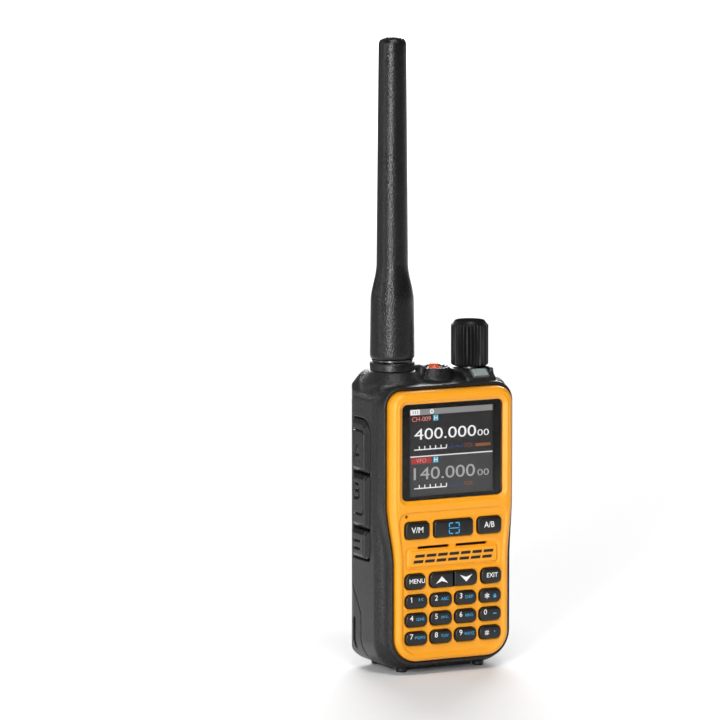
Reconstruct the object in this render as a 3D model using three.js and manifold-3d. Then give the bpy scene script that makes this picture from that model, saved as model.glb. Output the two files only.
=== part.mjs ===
// Handheld aviation radio: a two-tone case with a colour display, a 19-key keypad, two talk keys,
// a screw-on whip antenna, an on/volume knob, a torch lamp, an accessory port and a tilt-out battery.
//
// Millimetres. X is the user's right when facing the display, +Y runs from the front to the back,
// +Z is up. The origin is on the standing surface, below the middle of the case. Depths are counted
// backwards from a datum plane FACE behind the bezel's face, and turned into Y by atDepth().

import * as THREE from 'three';
import { mergeVertices } from 'three/addons/utils/BufferGeometryUtils.js';
import Module from 'manifold-3d';

const wasm = await Module();
wasm.setup();

// ---------------------------------------------------------------- driving dimensions

const CASE_WIDTH = 56;
const CASE_DEPTH = 33;
const CASE_LOW = 1.6;
const CASE_HIGH = 108.5;
const WALL = 2.4;
const GAP = 0.3;

const FACE = -1.8;
const FRAME_FRONT = { low: 0.3, high: 2 };
const FRAME_REAR = CASE_DEPTH;

const BEZEL = { low: 5.4, high: 106.4, half: 25.5, waist: 23.5, waistLow: 41, waistHigh: 65, back: 4.6 };
const BEZEL_EDGE = { back: 2.6, inset: 2 };
const BEZEL_CORNER = { low: 9, high: 6 };
const PANEL = { back: FACE + 2, half: 21.3, low: 8.2, high: 62.9, corner: 4 };

const WINDOW = { half: 20.9, low: 65.9, high: 101.7, front: FACE + 0.8, thick: 1.2, corner: 2 };
const WINDOW_GAP = 0.2;
const SIGHT = { half: 17.8, low: 66.7, high: 100.3, corner: 1 };
const DISPLAY = { half: 19, low: 65.4, high: 101.4, front: 1.1, back: 6.1 };
const DISPLAY_BAY = { half: 22.6, low: 64, high: 103, front: 0.9, corner: 3 };

const KEY_PROUD = 0.5;
const KEY_CAP_BACK = FACE + 2.3;
const KEY_FLANGE_BACK = FACE + 2.8;
const KEY_FLANGE = 0.35;
const KEY_CLEARANCE = 0.2;
const KEY_CORNER = 1.9;
const PAD_PITCH_X = 10.33;
const PAD_PITCH_Z = 6.95;
const PAD_KEY = { width: 8.95, height: 5.05 };
const PAD_TOP_ROW = 28.1;
const UPPER_ROW = { low: 51.6, high: 57.9 };
const LOWER_ROW = { low: 32.75, high: 38.45 };
const KEY_EDGES = { outer: 20.1, upper: 10.1, scan: 8.1, lower: 11.7, pair: 9.9, split: 0.3 };

const MAT = { half: 20.9, low: 9.6, high: 58.5, front: 2.1, back: 6, corner: 3 };
const BOARD = { half: 21.5, low: 6.5, high: 103, front: 6.4, back: 7.6 };
const NAME_STRIP = { half: 18.8, low: 40.9, high: 47.3, proud: 0.3 };
const SPEAKER = { width: 30, height: 10.6, z: 44.6, front: 1.1, back: 5.8, corner: 5, rim: 1.2, dish: 0.6 };
const MICROPHONE = { x: -19.2, z: 60, radius: 1.4, hole: 0.6, front: 0.5, back: 5.9 };

const BOARD_CHIPS = [
  { left: -12, right: -2, back: 8.9, low: 30, high: 40 },
  { left: 2, right: 9, back: 8.7, low: 32, high: 39 },
  { left: -6, right: 6, back: 8.9, low: 48, high: 56 },
];
const SHIELD = { left: -17, right: 10, front: 8, back: 12, low: 62, high: 92, wall: 0.6 };
const CHASSIS = { front: 15.6, back: 16.9, ribFront: 12.6, ribBack: 16, ribLow: 58, ribHigh: 90, rib: 1.2 };
const CHASSIS_RIBS = [-20.4, -1, 11];
const JACK = { inner: 14.5, face: 25.2, half: 3.3, halfHeight: 3.6, nose: 2.8, noseEnd: 26.9, bottom: 16 };
const JACK_BORES = { headset: 1.85, microphone: 1.35 };
const USB = { inner: 18.5, outer: 26.9, depth: 1.8, height: 4.7, wall: 0.4, tongue: 3.2, corner: 1.5 };
const SWITCH_BOARD = { left: -23.6, right: -22.8, low: 43, high: 94 };
const CONTACTS = { places: [-6, -2, 2, 6], half: 0.8, front: 18.1, back: 18.7, low: 12, high: 18 };
const TERMINAL = { half: 8.6, front: 14.6, back: 18.2, low: 10, high: 19.4, gap: 0.3 };
const SCREW = { head: 2.1, shank: 1.2, socket: 0.9, hole: 1.5, tip: 12.8, seat: 18.6, top: 19.5 };
const PORT_HOLE = { inner: 24, jack: 3.1, half: 2.1, halfHeight: 5, corner: 1.8 };

const BAY = { half: 21.4, low: 7, high: 95, floor: 18.5, wall: 1.1 };
const PACK = { high: 101.5, seam: 26, jogHigh: 31.7, jogLow: 21, foot: 19 };
const PACK_BLOCK = { half: 21, low: 8.5, high: 94 };
const PACK_WALL = 1.4;

const SIDE_STRIP = { front: 12.2, back: 25, outer: 29, inner: 25.3 };
const SIDE_KEYS = [
  { name: 'ptt_key_a', low: 75, high: 94.6 },
  { name: 'ptt_key_b', low: 54.2, high: 73.9 },
  { name: 'side_key', low: 42.5, high: 53.1 },
];

const SIDE_TRAVEL = 0.8;

const COVER = { front: 8, back: 19, low: 41.5, fold: 51.45, high: 94, outer: 29, thick: 1.5 };
const COVER_RECESS = 27.2;
const JACK_DEPTH = 13.5;
const JACKS = { headset: 84, microphone: 72.5, usb: 60.5 };

const AXIS_DEPTH = 17;
const ANTENNA = { x: -16, seat: 112.7, ringTop: 115.8, ringRadius: 8.35, top: 236.6 };
const COLLAR = { radius: 7.7, neck: 4.5, bore: 3.4, low: 116.1, rim: 116.9, high: 120.5 };
const WHIP = { foot: 117, mouth: 7.6, bore: 4.8, sleeve: 8.05, rod: 5.85, slim: 5.6, tip: 5.2 };
const WHIP_SHOULDER = { low: 138, high: 152.7 };
const CONNECTOR = { radius: 3.1, low: 98, high: 119, nut: 4.2, nutLow: 104, nutHigh: 110, hole: 4.7 };
const KNOB = { x: 16.6, radius: 7, low: 112.6, high: 129.6, chamfer: 1.5 };
const TORCH = { x: 1.5, top: 114.5 };
const BOSS_TOP = 111.8;
const ANTENNA_SEAT = { left: -25, right: -6.6, front: 4.2 };
const KNOB_SEAT = { left: 9, right: 22.4, front: 4.6 };
const SHOULDER = { top: 110.6, corner: 6 };
const TORCH_BOSS = { base: 7, top: 5.8, high: 112 };
const KNOB_GUARD = { x: -4.9, radius: 2.3, top: 114.4 };
const STATUS = { left: 12.4, right: 18.4, front: 4.3, back: 8.9, low: 109.8, high: 111.7, gap: 0.2 };
const SOUND_SLOTS = { reach: 14.5, low: 47.7, high: 48.6 };
const CASE_CORNER = { low: 11, high: 7, frontEdge: 2.2, rearEdge: 8.5 };
const SIDE_SLOT = { depth: 24.6, half: 1.1, low: 6, high: 19.5, point: 3, inner: 27.2 };

const LATCH = { half: 17.7, waist: 13.3, front: 10, back: 28.9, low: 0.5, high: 1.3 };
const LATCH_EARS = { front: 14.8, back: 26.2 };
const FEET = { x: 16.2, front: 9.2, back: 29, radius: 2.1 };

const FINE_ARC = 2;
const BROAD_ARC = 4;
const ROUND_STEPS = 18;

const MIDDLE = (CASE_DEPTH + FACE) / 2;
const atDepth = (depth) => depth - MIDDLE;

// ---------------------------------------------------------------- materials

const finish = (colour, roughness, metalness = 0) => (
  new THREE.MeshStandardMaterial({ color: colour, roughness, metalness })
);

const materials = {
  yellow: finish('#f5a01e', 0.45),
  graphite: finish('#3d3d3e', 0.65),
  keyBlack: finish('#232324', 0.5),
  rubber: finish('#2a2a2b', 0.8),
  glass: finish('#101113', 0.08),
  lens: finish('#d8dcdc', 0.05),
  smoke: finish('#8a9896', 0.2),
  reflector: finish('#e6e6e6', 0.2, 0.9),
  lamp: finish('#e8582a', 0.4),
  lcd: finish('#2c2c2e', 0.3),
  silicone: finish('#5a5b5c', 0.7),
  board: finish('#1f5a38', 0.55),
  steel: finish('#b4b6b8', 0.3, 1),
  brass: finish('#c9a44c', 0.3, 1),
  castMetal: finish('#9fa1a3', 0.5, 1),
  blackPlastic: finish('#18181a', 0.5),
  cell: finish('#2f6fa8', 0.4),
};

// ---------------------------------------------------------------- solids

function toSolid(geometry) {
  const bare = geometry.clone();
  bare.deleteAttribute('normal');
  bare.deleteAttribute('uv');
  const merged = mergeVertices(bare, 1e-4);
  return new wasm.Manifold(new wasm.Mesh({
    numProp: 3,
    vertProperties: new Float32Array(merged.attributes.position.array),
    triVerts: new Uint32Array(merged.index.array),
  }));
}

function toGeometry(solid) {
  const mesh = solid.getMesh();
  const geometry = new THREE.BufferGeometry();
  geometry.setAttribute('position', new THREE.BufferAttribute(mesh.vertProperties, 3));
  geometry.setIndex(new THREE.BufferAttribute(mesh.triVerts, 1));
  geometry.computeVertexNormals();
  return geometry;
}

const joined = (...solids) => solids.reduce((whole, next) => whole.add(next));
const cut = (base, ...tools) => tools.reduce((whole, tool) => whole.subtract(tool), base);

function extruded(shape, length, steps) {
  return new THREE.ExtrudeGeometry(shape, { depth: length, bevelEnabled: false, curveSegments: steps });
}

// Turns a front-view shape (X, Z) into a solid between two depths.
function alongY(shape, near, far, steps = FINE_ARC) {
  return toSolid(extruded(shape, far - near, steps).rotateX(Math.PI / 2).translate(0, atDepth(far), 0));
}

// Turns a plan shape (X, Y) into a solid between two heights.
function alongZ(shape, low, high, steps = FINE_ARC) {
  return toSolid(extruded(shape, high - low, steps).translate(0, 0, low));
}

// Turns a side-view shape (Y, Z) into a solid between two X positions.
function alongX(shape, left, right, steps = FINE_ARC) {
  const axes = new THREE.Matrix4().makeBasis(
    new THREE.Vector3(0, 1, 0),
    new THREE.Vector3(0, 0, 1),
    new THREE.Vector3(1, 0, 0),
  );
  return toSolid(extruded(shape, right - left, steps).applyMatrix4(axes).translate(left, 0, 0));
}

function block(left, right, near, far, low, high) {
  const geometry = new THREE.BoxGeometry(right - left, far - near, high - low);
  return toSolid(geometry.translate((left + right) / 2, atDepth((near + far) / 2), (low + high) / 2));
}

// A solid of revolution about the vertical through (x, depth), from [radius, height] pairs.
function turned(profile, x, depth, steps = ROUND_STEPS) {
  const points = profile.map(([radius, height]) => new THREE.Vector2(radius, height));
  const geometry = new THREE.LatheGeometry(points, steps);
  return toSolid(geometry.rotateX(Math.PI / 2).translate(x, atDepth(depth), 0));
}

const post = (radius, low, high, x, depth, steps) => (
  turned([[0, low], [radius, low], [radius, high], [0, high]], x, depth, steps)
);

// A round bar along Y between two depths.
function barAlongY(radius, near, far, x, z, steps = 12) {
  const geometry = new THREE.CylinderGeometry(radius, radius, far - near, steps);
  return toSolid(geometry.translate(x, atDepth((near + far) / 2), z));
}

// A round bar along X between two X positions.
function barAlongX(radius, left, right, depth, z, steps = 14) {
  const geometry = new THREE.CylinderGeometry(radius, radius, right - left, steps).rotateZ(Math.PI / 2);
  return toSolid(geometry.translate((left + right) / 2, atDepth(depth), z));
}

// ---------------------------------------------------------------- outlines

function roundedRect(left, right, low, high, corner) {
  const shape = new THREE.Shape();
  shape.moveTo(left + corner, low);
  shape.lineTo(right - corner, low);
  shape.absarc(right - corner, low + corner, corner, -Math.PI / 2, 0, false);
  shape.lineTo(right, high - corner);
  shape.absarc(right - corner, high - corner, corner, 0, Math.PI / 2, false);
  shape.lineTo(left + corner, high);
  shape.absarc(left + corner, high - corner, corner, Math.PI / 2, Math.PI, false);
  shape.lineTo(left, low + corner);
  shape.absarc(left + corner, low + corner, corner, Math.PI, Math.PI * 1.5, false);
  return shape;
}

const centredRect = (half, low, high, corner) => roundedRect(-half, half, low, high, corner);

function polygon(points) {
  return new THREE.Shape(points.map(([x, y]) => new THREE.Vector2(x, y)));
}

const sideProfile = (points) => polygon(points.map(([depth, z]) => [atDepth(depth), z]));

// The bezel's outline: wide beside the display, drawn in by an S-curve to a narrower keypad.
function bezelOutline(grow) {
  const wide = BEZEL.half + grow;
  const waist = BEZEL.waist + grow;
  const low = BEZEL.low - grow;
  const high = BEZEL.high + grow;
  const middle = (BEZEL.waistLow + BEZEL.waistHigh) / 2;
  const cornerLow = BEZEL_CORNER.low + grow;
  const cornerHigh = BEZEL_CORNER.high + grow;
  const shape = new THREE.Shape();
  shape.moveTo(-waist + cornerLow, low);
  shape.lineTo(waist - cornerLow, low);
  shape.absarc(waist - cornerLow, low + cornerLow, cornerLow, -Math.PI / 2, 0, false);
  shape.lineTo(waist, BEZEL.waistLow);
  shape.bezierCurveTo(waist, middle, wide, middle, wide, BEZEL.waistHigh);
  shape.lineTo(wide, high - cornerHigh);
  shape.absarc(wide - cornerHigh, high - cornerHigh, cornerHigh, 0, Math.PI / 2, false);
  shape.lineTo(-wide + cornerHigh, high);
  shape.absarc(-wide + cornerHigh, high - cornerHigh, cornerHigh, Math.PI / 2, Math.PI, false);
  shape.lineTo(-wide, BEZEL.waistHigh);
  shape.bezierCurveTo(-wide, middle, -waist, middle, -waist, BEZEL.waistLow);
  shape.lineTo(-waist, low + cornerLow);
  shape.absarc(-waist + cornerLow, low + cornerLow, cornerLow, Math.PI, Math.PI * 1.5, false);
  return shape;
}

// The whole case without the bezel: front view, plan and side view each trim it. Its front edge
// stands further forward beside the keypad than beside the display.
function caseEnvelope() {
  const half = CASE_WIDTH / 2;
  const front = alongY(roundedOutline(half), FRAME_FRONT.low, FRAME_REAR, BROAD_ARC);
  const plan = alongZ(planOutline(half), 0, CASE_HIGH + 1, BROAD_ARC);
  const side = alongX(sideProfile([
    [FRAME_FRONT.low, 4],
    [FRAME_FRONT.low + 2.5, CASE_LOW],
    [CASE_DEPTH - 3, CASE_LOW],
    [CASE_DEPTH, 4],
    [CASE_DEPTH, CASE_HIGH - 4],
    [CASE_DEPTH - 3.5, CASE_HIGH],
    [6, CASE_HIGH],
    [FRAME_FRONT.high, CASE_HIGH - 1.6],
    [FRAME_FRONT.high, BEZEL.waistHigh],
    [FRAME_FRONT.low, BEZEL.waistLow],
  ]), -half - 1, half + 1);
  return front.intersect(plan).intersect(side);
}

// Front view of the case: big lower corners, tighter upper ones.
function roundedOutline(half) {
  const { low: lowCorner, high: highCorner } = CASE_CORNER;
  const shape = new THREE.Shape();
  shape.moveTo(-half + lowCorner, CASE_LOW);
  shape.lineTo(half - lowCorner, CASE_LOW);
  shape.absarc(half - lowCorner, CASE_LOW + lowCorner, lowCorner, -Math.PI / 2, 0, false);
  shape.lineTo(half, CASE_HIGH - highCorner);
  shape.absarc(half - highCorner, CASE_HIGH - highCorner, highCorner, 0, Math.PI / 2, false);
  shape.lineTo(-half + highCorner, CASE_HIGH);
  shape.absarc(-half + highCorner, CASE_HIGH - highCorner, highCorner, Math.PI / 2, Math.PI, false);
  shape.lineTo(-half, CASE_LOW + lowCorner);
  shape.absarc(-half + lowCorner, CASE_LOW + lowCorner, lowCorner, Math.PI, Math.PI * 1.5, false);
  return shape;
}

// Plan of the case: small front corners beside the bezel, big rear ones on the battery.
function planOutline(half) {
  const near = atDepth(FRAME_FRONT.low);
  const far = atDepth(FRAME_REAR);
  const { frontEdge: frontCorner, rearEdge: rearCorner } = CASE_CORNER;
  const shape = new THREE.Shape();
  shape.moveTo(-half + frontCorner, near);
  shape.lineTo(half - frontCorner, near);
  shape.absarc(half - frontCorner, near + frontCorner, frontCorner, -Math.PI / 2, 0, false);
  shape.lineTo(half, far - rearCorner);
  shape.absarc(half - rearCorner, far - rearCorner, rearCorner, 0, Math.PI / 2, false);
  shape.lineTo(-half + rearCorner, far);
  shape.absarc(-half + rearCorner, far - rearCorner, rearCorner, Math.PI / 2, Math.PI, false);
  shape.lineTo(-half, near + frontCorner);
  shape.absarc(-half + frontCorner, near + frontCorner, frontCorner, Math.PI, Math.PI * 1.5, false);
  return shape;
}

// Side view of the battery's share of the case, grown by a gap for the housing's cut.
function packProfile(gap) {
  return sideProfile([
    [PACK.foot - gap, -1],
    [PACK.foot - gap, PACK.jogLow + gap / 2],
    [PACK.seam - gap, PACK.jogHigh + gap / 2],
    [PACK.seam - gap, PACK.high + gap],
    [CASE_DEPTH + 1, PACK.high + gap],
    [CASE_DEPTH + 1, -1],
  ]);
}

// ---------------------------------------------------------------- keys

function padKeys() {
  const columns = [['1', '2', '3', 'star'], ['4', '5', '6', '0'], ['7', '8', '9', 'hash']];
  return columns.flatMap((names, row) => names.map((name, column) => {
    const x = (column - 1.5) * PAD_PITCH_X;
    const z = PAD_TOP_ROW - row * PAD_PITCH_Z;
    return {
      name: `key_${name}`,
      left: x - PAD_KEY.width / 2,
      right: x + PAD_KEY.width / 2,
      low: z - PAD_KEY.height / 2,
      high: z + PAD_KEY.height / 2,
    };
  }));
}

const { outer, upper, scan, lower, pair, split } = KEY_EDGES;
const frontKeys = [
  { name: 'key_vm', left: -outer, right: -upper, ...UPPER_ROW },
  { name: 'key_scan', left: -scan, right: scan, ...UPPER_ROW },
  { name: 'key_ab', left: upper, right: outer, ...UPPER_ROW },
  { name: 'key_menu', left: -outer, right: -lower, ...LOWER_ROW },
  { name: 'key_up', left: -pair, right: -split, ...LOWER_ROW },
  { name: 'key_down', left: split, right: pair, ...LOWER_ROW },
  { name: 'key_exit', left: lower, right: outer, ...LOWER_ROW },
  ...padKeys(),
];

const keyShape = ({ left, right, low, high }, grow) => (
  roundedRect(left - grow, right + grow, low - grow, high + grow, KEY_CORNER + grow)
);

// Up and down stand side by side in one opening, so their flanges are kept narrow.
const sharesOpening = ({ name }) => name === 'key_up' || name === 'key_down';

// A key: its cap stands proud of the bezel, and a flange behind the panel keeps it in.
function keySolid(key) {
  const flange = sharesOpening(key) ? 0.1 : KEY_FLANGE;
  const cap = alongY(keyShape(key, 0), FACE - KEY_PROUD, KEY_CAP_BACK);
  return joined(cap, alongY(keyShape(key, flange), KEY_CAP_BACK, KEY_FLANGE_BACK));
}

function keyOpenings() {
  const shared = { left: -pair, right: pair, ...LOWER_ROW };
  const single = frontKeys.filter((key) => !sharesOpening(key));
  return [...single, shared].map((key) => alongY(keyShape(key, KEY_CLEARANCE), FACE - 2, BEZEL.back));
}

// ---------------------------------------------------------------- front

function bezelSolid() {
  const front = new THREE.ExtrudeGeometry(bezelOutline(0), {
    depth: BEZEL.back - FACE - BEZEL_EDGE.back,
    bevelEnabled: true,
    bevelThickness: BEZEL_EDGE.back,
    bevelSize: BEZEL_EDGE.inset,
    bevelOffset: -BEZEL_EDGE.inset,
    bevelSegments: 2,
    curveSegments: BROAD_ARC,
  });
  const ahead = FACE - 2;
  const behind = BEZEL.back + 1;
  const body = toSolid(front.rotateX(Math.PI / 2).translate(0, atDepth(BEZEL.back), 0))
    .intersect(block(-CASE_WIDTH, CASE_WIDTH, ahead, BEZEL.back, 0, CASE_HIGH));
  const strip = centredRect(NAME_STRIP.half, NAME_STRIP.low, NAME_STRIP.high, 1);
  const nameStrip = alongY(strip, FACE - NAME_STRIP.proud, FACE + 1);
  const { reach, low: slotLow, high: slotHigh } = SOUND_SLOTS;
  const slots = [[-reach, -1], [1, reach]].map(([left, right]) => (
    block(left, right, ahead, PANEL.back + 1, slotLow, slotHigh)
  ));
  const pocket = centredRect(
    WINDOW.half + WINDOW_GAP, WINDOW.low - WINDOW_GAP, WINDOW.high + WINDOW_GAP, WINDOW.corner,
  );
  const padBay = centredRect(PANEL.half, PANEL.low, PANEL.high, PANEL.corner);
  const displayBay = centredRect(DISPLAY_BAY.half, DISPLAY_BAY.low, DISPLAY_BAY.high, DISPLAY_BAY.corner);
  return cut(
    joined(body, nameStrip),
    alongY(padBay, PANEL.back, behind),
    alongY(displayBay, DISPLAY_BAY.front, behind),
    alongY(pocket, ahead, WINDOW.front + WINDOW.thick + WINDOW_GAP),
    alongY(centredRect(SIGHT.half, SIGHT.low, SIGHT.high, SIGHT.corner), WINDOW.front, DISPLAY.front),
    barAlongY(MICROPHONE.hole, ahead, PANEL.back + 1, MICROPHONE.x, MICROPHONE.z, 8),
    ...keyOpenings(),
    ...slots,
  );
}

function windowSolid() {
  const { half, low, high, front, thick, corner } = WINDOW;
  return alongY(centredRect(half, low, high, corner), front, front + thick);
}

const lcdSolid = () => (
  alongY(centredRect(DISPLAY.half, DISPLAY.low, DISPLAY.high, 1), DISPLAY.front, DISPLAY.back)
);

// The rubber mat behind the keys, with a window for the speaker.
function matSolid() {
  const { half, low, high, front, back, corner } = MAT;
  const reach = SPEAKER.height / 2 + 0.4;
  const speakerPlace = centredRect(SPEAKER.width / 2 + 0.4, SPEAKER.z - reach, SPEAKER.z + reach, corner);
  return cut(
    alongY(centredRect(half, low, high, corner), front, back),
    alongY(speakerPlace, front - 1, back + 1),
  );
}

function speakerSolid() {
  const { width, height, z, front, back, corner, rim, dish } = SPEAKER;
  const outline = (inset) => centredRect(
    width / 2 - inset, z - height / 2 + inset, z + height / 2 - inset, corner - inset,
  );
  return cut(
    alongY(outline(0), front, back),
    alongY(outline(rim), front - 1, front + dish),
  );
}

function microphoneSolid() {
  return barAlongY(MICROPHONE.radius, MICROPHONE.front, MICROPHONE.back, MICROPHONE.x, MICROPHONE.z);
}

// ---------------------------------------------------------------- inside

const screwPlaces = [
  { name: 'case_screw_low_left', x: -16.5, z: 12.5 },
  { name: 'case_screw_low_right', x: 16.5, z: 12.5 },
  { name: 'case_screw_high_left', x: -16.5, z: 88 },
  { name: 'case_screw_high_right', x: 5, z: 88 },
];

function boardSolid() {
  return joined(
    alongY(centredRect(BOARD.half, BOARD.low, BOARD.high, 2), BOARD.front, BOARD.back),
    ...BOARD_CHIPS.map(({ left, right, back, low, high }) => (
      block(left, right, BOARD.back - 0.1, back, low, high)
    )),
  );
}

function shieldSolid() {
  const { left, right, front, back, low, high, wall } = SHIELD;
  return cut(
    block(left, right, front, back, low, high),
    block(left + wall, right - wall, front - 1, back - wall, low + wall, high - wall),
  );
}

// The cast frame that the boards are screwed to, notched beside the accessory sockets.
function chassisSolid() {
  const outline = polygon([
    [-21, 8], [-9.2, 8], [-9.2, 20], [9.2, 20], [9.2, 8], [21, 8], [21, 50],
    [12.5, 54], [12.5, 94], [9, 94], [9, 101], [-9, 101], [-9, 94], [-21, 94],
  ]);
  const { front, back, ribFront, ribBack, ribLow, ribHigh, rib } = CHASSIS;
  const ribs = CHASSIS_RIBS.map((x) => block(x, x + rib, ribFront, ribBack, ribLow, ribHigh));
  const screwHoles = screwPlaces.map(({ x, z }) => barAlongY(SCREW.hole, front - 0.6, back + 1.1, x, z));
  return cut(joined(alongY(outline, front, back), ...ribs), ...screwHoles);
}

function jackSolid(z, radius) {
  const { inner, face, half, halfHeight, nose, noseEnd, bottom } = JACK;
  return cut(
    joined(
      block(inner, face, JACK_DEPTH - half, JACK_DEPTH + half, z - halfHeight, z + halfHeight),
      barAlongX(nose, face - 0.1, noseEnd, JACK_DEPTH, z),
    ),
    barAlongX(radius, bottom, noseEnd + 1.1, JACK_DEPTH, z),
  );
}

function usbSolid() {
  const centre = atDepth(JACK_DEPTH);
  const z = JACKS.usb;
  const { inner, outer: lip, depth, height, wall, tongue, corner } = USB;
  const outline = (inset) => roundedRect(
    centre - depth + inset, centre + depth - inset, z - height + inset, z + height - inset,
    corner - 0.75 * inset,
  );
  const mouth = alongX(outline(wall), inner + 1.5, lip + 1.1);
  const blade = block(inner + 1, lip - 0.9, JACK_DEPTH - wall, JACK_DEPTH + wall, z - tongue, z + tongue);
  return joined(cut(alongX(outline(0), inner, lip), mouth), blade);
}

function switchBoardSolid() {
  const { left, right, low, high } = SWITCH_BOARD;
  return block(left, right, SIDE_STRIP.front, SIDE_STRIP.back - 1.5, low, high);
}

function terminalSolid() {
  const { places, half, front, back, low, high } = CONTACTS;
  const pads = places.map((x) => block(x - half, x + half, front, back, low, high));
  const { half: wide, front: near, back: far, low: foot, high: top } = TERMINAL;
  return joined(block(-wide, wide, near, far, foot, top), ...pads);
}

function screwSolid(x, z) {
  const { head, shank, socket, tip, seat, top } = SCREW;
  return cut(
    joined(barAlongY(head, seat, top, x, z), barAlongY(shank, tip, seat + 0.1, x, z)),
    barAlongY(socket, seat + 0.4, top + 0.7, x, z, 6),
  );
}

// ---------------------------------------------------------------- housing

// A raised seat on the case's top with a sloping front.
function topSeat(left, right, front, top) {
  return alongX(sideProfile([
    [front, CASE_HIGH - 1.5],
    [front + 0.4, CASE_HIGH + 0.7],
    [front + 3.8, top],
    [26, top],
    [29.5, CASE_HIGH - 1.5],
  ]), left, right);
}

const knobSeat = () => topSeat(KNOB_SEAT.left, KNOB_SEAT.right, KNOB_SEAT.front, BOSS_TOP);

// The antenna's seat, and the rounded shoulder that carries it out to the left side.
function antennaSeat() {
  const { left, right, front } = ANTENNA_SEAT;
  const edge = -CASE_WIDTH / 2;
  const outline = roundedRect(edge, -edge * 2, 0, SHOULDER.top, SHOULDER.corner);
  const top = ANTENNA.seat - 0.1;
  const shoulder = topSeat(edge, right, front, top).intersect(alongY(outline, 0, CASE_DEPTH + 1, BROAD_ARC));
  return joined(topSeat(left, right, front, top), shoulder);
}

// The block that the status window takes up, grown by a gap for its recess.
function statusPlace(gap) {
  const { left, right, front, back, low, high } = STATUS;
  return block(left - gap, right + gap, front - gap, back + gap, low - gap, high + gap);
}

// The opening in the battery bay's floor that the contact block stands in.
function terminalOpening() {
  const { half, low, high, gap } = TERMINAL;
  return block(-half - gap, half + gap, 14, 19, low - gap, high + gap);
}

function housingSolid() {
  const foot = CASE_HIGH - 1;
  const { base, top: bossTop, high: bossHigh } = TORCH_BOSS;
  const torchBoss = turned(
    [[0, foot], [base, foot], [base, CASE_HIGH + 0.6], [bossTop, bossHigh], [0, bossHigh]],
    TORCH.x, AXIS_DEPTH,
  );
  const { radius: guard, top: guardTop } = KNOB_GUARD;
  const knobGuard = turned(
    [[0, foot], [guard, foot], [guard, guardTop - 1], [guard / 2, guardTop - 0.1], [0, guardTop]],
    KNOB_GUARD.x, AXIS_DEPTH, 10,
  );
  const feet = [-FEET.x, FEET.x].map((x) => post(FEET.radius, 0, 3, x, FEET.front, 12));
  const outside = joined(caseEnvelope(), antennaSeat(), knobSeat(), torchBoss, knobGuard, ...feet);
  const inner = CASE_WIDTH / 2 - WALL;
  const port = PORT_HOLE;
  const beyond = CASE_WIDTH / 2 + 2;
  const [stripLow, stripHigh] = [SIDE_KEYS[2].low, SIDE_KEYS[0].high];
  const partition = BAY.half + BAY.wall;
  const recessLow = COVER.low - GAP;
  return cut(
    outside,
    alongY(bezelOutline(0.25), FACE, BEZEL.back + 0.2, BROAD_ARC),
    alongY(bezelOutline(-1.6), BEZEL.back, 8, BROAD_ARC),
    alongY(centredRect(inner, 4.2, 105.5, 6), 6, BAY.floor - BAY.wall),
    block(-inner, -partition, 10, 24.4, 40, 97),
    block(partition, inner, 10, 24.4, 40, 97),
    alongY(centredRect(BAY.half, BAY.low, BAY.high, 2), BAY.floor, 34),
    alongX(packProfile(GAP), -40, 40),
    block(-22, 22, 9, 24.4, 96.2, 105.8),
    alongX(roundedRect(
      atDepth(SIDE_STRIP.front) - GAP, atDepth(SIDE_STRIP.back) + GAP, stripLow - GAP, stripHigh + GAP, 1.3,
    ), -40, -SIDE_STRIP.inner + SIDE_TRAVEL + 0.2),
    alongX(roundedRect(
      atDepth(COVER.front) - GAP, atDepth(COVER.back) + GAP, recessLow, COVER.high + 3, 2.5,
    ), COVER_RECESS, 40),
    barAlongX(port.jack, port.inner, beyond, JACK_DEPTH, JACKS.headset),
    barAlongX(port.jack, port.inner, beyond, JACK_DEPTH, JACKS.microphone),
    alongX(roundedRect(
      atDepth(JACK_DEPTH) - port.half, atDepth(JACK_DEPTH) + port.half,
      JACKS.usb - port.halfHeight, JACKS.usb + port.halfHeight, port.corner,
    ), port.inner, beyond),
    post(CONNECTOR.hole, 100, 120, ANTENNA.x, AXIS_DEPTH),
    post(3.8, 100, 120, KNOB.x, AXIS_DEPTH),
    post(3.8, 104, 120, TORCH.x, AXIS_DEPTH),
    statusPlace(STATUS.gap),
    terminalOpening(),
    ...screwPlaces.map(({ x, z }) => barAlongY(SCREW.hole, 16, 20, x, z)),
  );
}

// ---------------------------------------------------------------- top controls

function antennaRing() {
  const { ringRadius, seat, ringTop } = ANTENNA;
  const edge = ringRadius - 0.4;
  const hole = 4.6;
  return turned(
    [[hole, seat], [ringRadius, seat], [ringRadius, ringTop - 0.4], [edge, ringTop], [hole, ringTop],
      [hole, seat]],
    ANTENNA.x, AXIS_DEPTH, 24,
  );
}

function antennaConnector() {
  const { radius, low, high, nut, nutLow, nutHigh } = CONNECTOR;
  const stem = post(radius, low, high, ANTENNA.x, AXIS_DEPTH);
  return joined(stem, post(nut, nutLow, nutHigh, ANTENNA.x, AXIS_DEPTH, 6));
}

function antennaCollar() {
  const { radius, neck, bore, low, rim, high } = COLLAR;
  return turned(
    [[bore, low], [radius, low], [radius, rim], [neck, rim], [neck, high], [bore, high], [bore, low]],
    ANTENNA.x, AXIS_DEPTH, 24,
  );
}

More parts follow.
